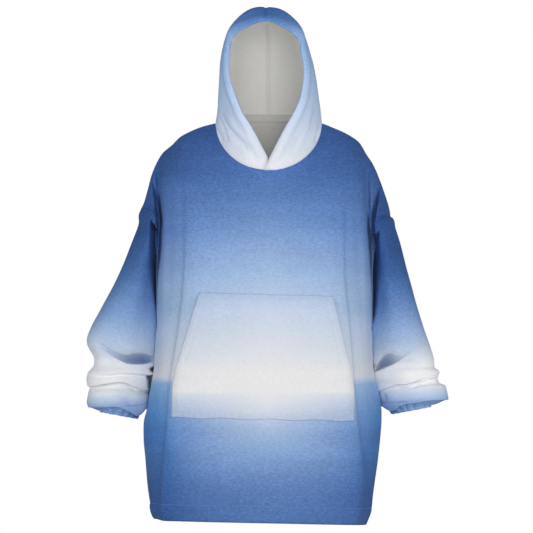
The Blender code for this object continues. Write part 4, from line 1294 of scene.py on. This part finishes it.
    # The seam allowance runs on inside the armhole
    up_sleeve = unit(points[0].mean(axis=0) - points[8].mean(axis=0))
    inside = points[:1] + ALLOWANCE * up_sleeve - 0.002 * facing[:1]
    points = np.concatenate([inside, points, np.array(lip)])
    facing = np.concatenate([facing[:1], facing, np.array(lip_facing)])
    lip_level = level[-1:] - drop[None, :] * np.linspace(0.2, 1.6, len(TIER_LIP))[:, None]
    level = np.concatenate([level[:1], level, lip_level])
    wall = CLOTH_WALL * (0.15 + 0.85 * ease(0.0, 0.010, gap))
    wall[-len(LIP_WALLS_ABOVE) :] = np.array(LIP_WALLS_ABOVE)[:, None]
    wall = np.concatenate([wall[:1], wall, np.full((len(TIER_LIP), SLEEVE_COLUMNS), LIP_WALL)])
    look = printed_fleece("sleeve_fleece_" + label, prints)
    piece = sewn_cloth(
        "sleeve_tube_" + label,
        points,
        facing,
        wall,
        {"print_and_shade_down": level},
        (look, wrong_side),
        closed=True,
    )
    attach(piece, "root")
    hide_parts("sleeve_" + label)

# Cuffs: a turned end of the sleeve over a ring of elastic, which gathers it into short
# upright pleats. Only the lowest centimetres show under the last tier.

CUFF_RIGHT = [
    (-408.9, -632.1, -278.5, -627.5, 64.0), (-393.0, -638.0, -283.0, -638.0, 59.0),
    (-389.0, -642.0, -292.5, -649.0, 55.0), (-386.0, -646.0, -299.0, -662.0, 52.0),
]
CUFF_LEFT = [
    (419.4, -614.7, 271.2, -622.8, 66.0), (400.0, -622.0, 274.5, -631.0, 60.0),
    (388.0, -627.0, 284.0, -641.0, 55.0), (384.0, -634.0, 294.0, -651.0, 52.0),
]
CUFF_ROWS = 26
CUFF_COLUMNS = 224
PLEATS = 16.0
PLEAT_DEPTH = 0.0024
# Depth of the pleats by row of the tables above, as shares
PLEAT_SHARES = ([0.0, 0.5, 1.8, 3.0], [0.0, 0.8, 1.0, 0.6])
CUFF_PRINT = [
    (-610.0, (152, 182, 226)),
    (-640.0, (132, 164, 216)),
    (-665.0, (114, 148, 204)),
]
cuff_print = printed_fleece("cuff_fleece", CUFF_PRINT)
for side, label, table in ((-1.0, "right", CUFF_RIGHT), (1.0, "left", CUFF_LEFT)):
    angles = np.linspace(0.0, 2.0 * math.pi, CUFF_COLUMNS, endpoint=False)
    keys = np.linspace(0.0, len(table) - 1.0, CUFF_ROWS)
    set_back, flatter = np.full(CUFF_ROWS, SLEEVE_SET_BACK), np.full(CUFF_ROWS, 0.3)
    points = sleeve_rings(table, angles, keys, set_back, flatter)
    facing = grid_facing(points, True) * side
    row = table[0]
    chord = unit(np.array([-(row[3] - row[1]), 0.0, row[2] - row[0]]))
    facing[0] = unit(facing[0] - (facing[0] @ chord)[:, None] * chord)

    # Uneven pleats, and the groove of the row of stitches over the elastic
    uneven = PLEATS * angles + 0.9 * np.sin(3.0 * angles + side) + 0.7 * np.sin(7.0 * angles)
    strength = 0.7 + 0.3 * np.sin(5.0 * angles + 1.0)
    depth = PLEAT_DEPTH * np.interp(keys, *PLEAT_SHARES)
    pleats = (np.cos(uneven) - 0.3 * np.cos(2.0 * uneven)) * strength
    relief = depth[:, None] * pleats[None, :]
    relief += seam_dip(keys - 2.3, 0.0016, 0.22)[:, None]
    points = points + facing * relief[..., None]
    piece = sewn_cloth(
        "gathered_cuff_" + label,
        points,
        facing,
        np.full(relief.shape, CLOTH_WALL),
        {"print_and_shade_down": points[..., 2]},
        (cuff_print, wrong_side),
        closed=True,
    )
    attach(piece, "root")
    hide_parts("cuff_" + label)

# Hood: two mirrored halves of one layer of fleece, joined by a seam from the forehead
# over the crown to the nape and sewn into the neck. The face edges are turned in,
# and the wearer's left one laps over the right at the throat.

# Rows up the hood: row, half width, edge x, edge y, edge height, seam y, seam height in mm
HOOD_RIGHT = [
    (0.0, 124.0, -12.0, -115.0, -82.0, 95.0, 34.0), (0.1, 121.0, 8.5, -120.0, -43.0, 108.0, 52.0),
    (0.2, 119.0, 39.0, -123.0, 12.0, 118.0, 78.0), (0.3, 118.0, 63.5, -122.0, 49.0, 126.0, 108.0),
    (0.42, 115.5, 82.6, -119.0, 96.0, 131.0, 150.0), (0.55, 112.5, 95.0, -115.0, 138.0, 124.0, 198.0),
    (0.68, 108.5, 94.5, -111.0, 167.0, 98.0, 245.0), (0.8, 100.0, 90.5, -108.0, 192.0, 50.0, 283.0),
    (0.91, 90.0, 85.4, -105.0, 208.0, -20.0, 298.0), (1.0, 77.5, 77.4, -101.0, 221.0, -93.0, 267.0),
]
HOOD_LEFT = [
    (0.0, 124.0, -11.0, -115.0, -82.0, 95.0, 34.0), (0.1, 122.0, 8.0, -120.0, -43.0, 108.0, 52.0),
    (0.2, 119.5, 38.0, -123.0, 12.0, 118.0, 78.0), (0.3, 117.5, 59.0, -122.0, 46.0, 126.0, 108.0),
    (0.42, 114.5, 76.5, -119.0, 82.0, 131.0, 150.0), (0.55, 108.5, 86.0, -115.0, 125.0, 124.0, 198.0),
    (0.68, 102.0, 88.0, -111.0, 158.0, 98.0, 245.0), (0.8, 93.0, 83.5, -108.0, 188.0, 50.0, 283.0),
    (0.91, 88.0, 82.0, -105.0, 206.0, -20.0, 298.0), (1.0, 78.0, 77.9, -101.0, 216.0, -93.0, 267.0),
]
# The right half lies this much further in at the throat, under the left one
LAP_SHIFT = 0.0065
HOOD_ROWS = 112
HOOD_COLUMNS = 57
# The gentle drape of a half
DRAPE_HEIGHT = 0.0016
DRAPE_SIZE = 0.10
# The turned-in face edge: where it is fullest, how much it stands proud, its width inside
FACE_EDGE_FULL = 0.017
FACE_EDGE_PROUD = 0.0035
FACE_EDGE_TURNED = (0.018, 0.021)
# How much thicker the cloth is there, and over the seam allowances of the crown seam
FACE_EDGE_DOUBLED = 0.0014
CROWN_SEAM_DOUBLED = 0.0046
HOOD_CREASES_RIGHT = [
    (-6.0, 4.0, [(-109.0, 44.0), (-100.0, 18.0), (-87.0, -12.0)]),
    (3.6, 6.0, [(-106.0, 44.0), (-93.0, 12.0), (-76.0, -18.0)]),
    (-7.0, 4.0, [(-104.0, 48.0), (-88.0, 14.0), (-66.0, -11.0), (-42.0, -36.0)]),
    (3.6, 7.0, [(-96.0, 54.0), (-77.0, 22.0), (-54.0, -2.0), (-30.0, -28.0)]),
    (-5.0, 3.8, [(-116.0, 18.0), (-109.0, -4.0), (-101.0, -20.0)]),
    (-2.8, 7.0, [(-103.0, 110.0), (-86.0, 78.0), (-66.0, 48.0)]),
    (2.6, 8.0, [(-94.0, 120.0), (-78.0, 86.0), (-58.0, 56.0)]),
    (-2.0, 6.0, [(-102.0, 150.0), (-98.0, 110.0), (-88.0, 70.0)]),
]
HOOD_CREASES_LEFT = [
    (-2.6, 6.0, [(100.0, 116.0), (84.0, 76.0), (58.0, 14.0), (44.0, -20.0)]),
    (2.4, 8.0, [(92.0, 100.0), (72.0, 44.0), (50.0, -8.0)]),
    (-2.6, 6.5, [(116.0, 76.0), (104.0, 22.0), (88.0, -20.0)]),
    (2.6, 7.0, [(110.0, 64.0), (94.0, 8.0), (70.0, -36.0)]),
    (-5.0, 3.8, [(128.0, 22.0), (121.0, 2.0), (114.0, -18.0)]),
    (2.8, 4.5, [(121.0, 24.0), (115.0, 4.0), (107.0, -16.0)]),
    (-1.8, 6.0, [(96.0, 20.0), (80.0, -10.0), (60.0, -40.0)]),
]
HOOD_PRINT = [
    (305.0, (80, 126, 202)),
    (285.0, (88, 136, 210)),
    (262.0, (104, 148, 210)),
    (235.0, (142, 175, 219)),
    (180.0, (162, 192, 236)),
    (140.0, (174, 202, 240)),
    (90.0, (187, 210, 241)),
    (50.0, (202, 219, 245)),
    (10.0, (214, 226, 245)),
    (-30.0, (224, 231, 243)),
    (-60.0, (230, 233, 241)),
    (-90.0, (232, 234, 240)),
]
hood_print = printed_fleece("hood_fleece", HOOD_PRINT)
for side, label, table, creases in (
    (-1.0, "right", HOOD_RIGHT, HOOD_CREASES_RIGHT),
    (1.0, "left", HOOD_LEFT, HOOD_CREASES_LEFT),
):
    # Rows from the neck up, each from the face edge round to the crown seam
    row = np.linspace(0.0, 1.0, HOOD_ROWS)
    wide, edge_x, edge_y, edge_z, seam_y, seam_z = by_height(table, row).T
    start = np.arcsin(np.clip(edge_x / wide, -1.0, 1.0))
    quarter = 0.5 * math.pi
    to_side = np.linspace(0.0, quarter, HOOD_COLUMNS - 1)[1:]
    to_seam = np.linspace(quarter, math.pi, HOOD_COLUMNS)[1:]
    seam = np.concatenate([start[:1], to_side, to_seam])
    share = (seam - start[0]) / (math.pi - start[0])
    angle = start[:, None] + (math.pi - start[:, None]) * share
    back = (np.cos(start)[:, None] - np.cos(angle)) / (np.cos(start)[:, None] + 1.0)
    first, last = neck_seam(start)[:, None, :], neck_seam(np.array(math.pi))
    shape = neck_seam(angle) - first - (last - first) * back[..., None]
    keep = (1.0 - ease(0.0, 0.4, row))[:, None]
    crown = 1.0 - 0.30 * ease(0.55, 0.85, row)[:, None] * ease(0.1, 1.0, back)
    points = np.zeros(angle.shape + (3,))
    points[..., 0] = NECK_X * (1.0 - 1.3 * row[:, None] ** 3)
    points[..., 0] += side * wide[:, None] * np.sin(angle) * crown
    points[..., 1] = edge_y[:, None] + (seam_y - edge_y)[:, None] * back + keep * shape[..., 1]
    rounder = 1.0 + 0.35 * (ease(0.6, 0.85, row) * (1.0 - ease(0.93, 1.0, row)))[:, None]
    climb = 1.0 - (1.0 - np.clip(back, 0.0, 1.0)) ** rounder
    points[..., 2] = edge_z[:, None] + (seam_z - edge_z)[:, None] * climb + keep * shape[..., 2]
    facing = grid_facing(points) * side
    facing[0] = neck_facing(angle[0]) * [side, 1.0, 1.0]
    facing[:, -1, 0] = 0.0
    facing = unit(facing)
    if side < 0:
        low = (0.55 + 0.45 * ease(0.0, 0.05, row)) * (1.0 - ease(0.06, 0.16, row))
        points[..., 1] += LAP_SHIFT * low[:, None] * (1.0 - ease(0.1, 0.5, angle))

    # Creases at the throat, a gentle drape, the rounded face edge and the seams
    x, z = points[..., 0], points[..., 2]
    ahead = 1.0 - ease(-0.06, 0.02, points[..., 1])
    neck_gap = edge_gap(points, "first row")
    face_gap = edge_gap(points, "first column")
    seam_gap = edge_gap(points, "last column")
    relief = crease_rise(x, z, creases) * ahead * ease(0.0, 0.012, face_gap)
    drape = soft_waves(points[..., 1] * 1.2 + 0.3 * z, z, DRAPE_SIZE, 2.1 + side)
    relief += DRAPE_HEIGHT * drape * ease(0.02, 0.06, face_gap)
    relief = relief * ease(0.0, 0.014, neck_gap) * ease(0.0, 0.02, seam_gap)
    brow_gap = edge_gap(points, "last row")
    turned_edge = np.minimum(face_gap, brow_gap)
    full = np.exp(-(((turned_edge - FACE_EDGE_FULL) / 0.011) ** 2))
    rounded = FACE_EDGE_PROUD * full + seam_dip(turned_edge, 0.0020, 0.006)
    relief += rounded * ease(0.01, 0.04, neck_gap)
    relief += seam_dip(neck_gap, 0.0008, 0.003)
    relief += seam_dip(seam_gap, 0.0022, 0.004) * ease(0.0, 0.02, brow_gap)
    points = points + facing * relief[..., None]
    doubled = FACE_EDGE_DOUBLED * (1.0 - ease(*FACE_EDGE_TURNED, face_gap))
    allowance = np.exp(-((seam_gap / 0.004) ** 4)) * ease(0.01, 0.03, brow_gap)
    doubled = (doubled + CROWN_SEAM_DOUBLED * allowance) * ease(0.0, 0.01, neck_gap)
    piece = sewn_cloth(
        "hood_half_" + label,
        points,
        facing,
        np.full(x.shape, CLOTH_WALL),
        {"print_and_shade_down": z},
        (hood_print, wrong_side),
        doubled=doubled,
    )
    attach(piece, "root")
    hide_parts("hood_" + label)

# Neck tape: a strip of woven cotton tape, 18 mm wide, sewn over the back of the neck seam
# inside the hood with a row of stitches near each edge.

TAPE_HEIGHT = 0.018
TAPE_THICK = 0.0012
# Gap to the cloth, how far the tape reaches under the seam, and its rows of stitches
TAPE_GAP = 0.0006
TAPE_UNDER = 0.003
TAPE_STITCH_IN = 0.0025
TAPE_STITCH = (0.0036, 0.0026, 0.0004)
# It swells a little inside its stitches, which sink in: depth and width
TAPE_SWELL = 0.0005
TAPE_STITCH_DIP = (0.0003, 0.0009)
# The tape covers this part of the neck seam, as a share of half its back
TAPE_REACH = 0.6
TAPE_ROWS = 15
TAPE_COLUMNS = 97

tape_look, tree, shader = new_look("neck_tape_cotton")
shader.inputs["Specular IOR Level"].default_value = 0.2
place = tree.nodes.new("ShaderNodeTexCoord")
weave = []
for direction, scale in (("X", 420.0), ("Z", 520.0)):
    wave = tree.nodes.new("ShaderNodeTexWave")
    wave.bands_direction = direction
    wave.inputs["Scale"].default_value = scale
    wave.inputs["Distortion"].default_value = 0.6
    join(tree, place, "Object", wave, "Vector")
    weave.append(wave)
cross = tree.nodes.new("ShaderNodeMath")
cross.operation = "MULTIPLY"
join(tree, weave[0], "Fac", cross, 0)
join(tree, weave[1], "Fac", cross, 1)
tone = toned(tree, cross, "Value", dye((226, 226, 222)), dye((242, 242, 238)))
tree.links.new(tone, shader.inputs["Base Color"])
bumped(tree, cross, "Value", shader, 0.5, 0.0003)
roughened(tree, cross, "Value", shader, 0.75, 0.9)

reach = 0.5 * math.pi * TAPE_REACH
angle = np.linspace(math.pi - reach, math.pi + reach, TAPE_COLUMNS)
low = neck_seam(angle)
inward = unit(np.stack([-np.sin(angle), np.cos(angle), 0.0 * angle], axis=-1))
up = np.linspace(0.0, TAPE_HEIGHT, TAPE_ROWS)
points = (low + inward * (CLOTH_WALL + TAPE_GAP))[None] + np.zeros((TAPE_ROWS, 1, 1))
points[..., 2] += (up - TAPE_UNDER)[:, None]
edge = np.minimum(up, TAPE_HEIGHT - up)
swell = TAPE_SWELL * np.exp(-(((edge - 0.005) / 0.003) ** 2))
swell += seam_dip(edge - TAPE_STITCH_IN, *TAPE_STITCH_DIP)
points = points + inward[None] * swell[:, None, None]
facing = np.broadcast_to(-inward, points.shape).copy()
piece = sewn_cloth(
    "neck_tape_strip",
    points,
    facing,
    np.full(points.shape[:2], TAPE_THICK),
    {},
    (tape_look, tape_look),
)
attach(piece, "root")
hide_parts("neck_tape")
tape_thread = thread("tape_thread", (222, 221, 217))
for name, rise in (("upper", TAPE_HEIGHT - TAPE_STITCH_IN), ("lower", TAPE_STITCH_IN)):
    line = low + inward * (CLOTH_WALL + TAPE_GAP + TAPE_THICK)
    line[:, 2] += rise - TAPE_UNDER
    row = stitch_row("tape_stitches_" + name, line, inward, tape_thread, TAPE_STITCH)
    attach(row, "root")

# Studio: a plain pale floor well under the garment, which hangs as on an unseen form,
# four large soft lights at the front, both sides and the back, and a pale room.

FLOOR_RADIUS = 2.9
FLOOR_HEIGHT = -1.30
FLOOR_SIDES = 96
# The camera looks at this x and height from straight in front, far off, as for a catalogue
VIEW_CENTRE = (0.0012, -0.3064)
CAMERA_DISTANCE = 30.0
VIEW_WIDTH = 1.242
LIGHT_COLOUR = (1.0, 0.961, 0.923)
ROOM_COLOUR = (0.74, 0.87, 1.0, 1.0)
ROOM_LIGHT = 0.23

floor = bpy.data.meshes.new("floor")
around = np.linspace(0.0, 2.0 * math.pi, FLOOR_SIDES, endpoint=False)
ring = [(FLOOR_RADIUS * math.cos(a), FLOOR_RADIUS * math.sin(a), FLOOR_HEIGHT) for a in around]
floor.from_pydata(ring, [], [tuple(range(FLOOR_SIDES))])
floor_look, _, shader = new_look("pale_floor")
shader.inputs["Base Color"].default_value = (0.86, 0.86, 0.85, 1.0)
shader.inputs["Roughness"].default_value = 0.8
floor.materials.append(floor_look)
floor_piece = bpy.data.objects.new("floor", floor)
bpy.context.scene.collection.objects.link(floor_piece)

# The lights: place, what each points at, its width and its power in watts
for name, place, aim, size, power in (
    ("front_softbox", (0.4, -4.6, 0.35), (0.0, 0.0, -0.35), 2.2, 72.0),
    ("right_softbox", (3.4, -2.9, 0.2), (0.0, 0.0, -0.3), 1.8, 64.0),
    ("left_softbox", (-3.4, -2.9, 0.2), (0.0, 0.0, -0.3), 1.8, 64.0),
    ("back_softbox", (0.0, 4.4, 0.6), (0.0, 0.0, -0.35), 2.0, 50.0),
):
    lamp = bpy.data.lights.new(name, "AREA")
    lamp.shape = "SQUARE"
    lamp.size = size
    lamp.energy = power
    lamp.color = LIGHT_COLOUR
    softbox = bpy.data.objects.new(name, lamp)
    softbox.location = place
    softbox.rotation_euler = (Vector(aim) - Vector(place)).to_track_quat("-Z", "Y").to_euler()
    bpy.context.scene.collection.objects.link(softbox)

room = bpy.data.worlds.new("room")
room.use_nodes = True
tree = room.node_tree
glow = tree.nodes["Background"]
glow.inputs["Color"].default_value = ROOM_COLOUR
glow.inputs["Strength"].default_value = ROOM_LIGHT
seen = tree.nodes.new("ShaderNodeBackground")
seen.inputs["Strength"].default_value = 1.0
seen.inputs["Color"].default_value = (1.0, 1.0, 1.0, 1.0)
rays = tree.nodes.new("ShaderNodeLightPath")
choose = tree.nodes.new("ShaderNodeMixShader")
join(tree, rays, "Is Camera Ray", choose, 0)
join(tree, glow, "Background", choose, 1)
join(tree, seen, "Background", choose, 2)
join(tree, choose, "Shader", tree.nodes["World Output"], "Surface")
bpy.context.scene.world = room
bpy.context.scene.view_settings.view_transform = "Standard"

camera = bpy.data.cameras.new("camera")
camera.lens = camera.sensor_width * CAMERA_DISTANCE / VIEW_WIDTH
eye = bpy.data.objects.new("camera", camera)
eye.location = (VIEW_CENTRE[0], -CAMERA_DISTANCE, VIEW_CENTRE[1])
eye.rotation_euler = (0.5 * math.pi, 0.0, 0.0)
bpy.context.scene.collection.objects.link(eye)
bpy.context.scene.camera = eye
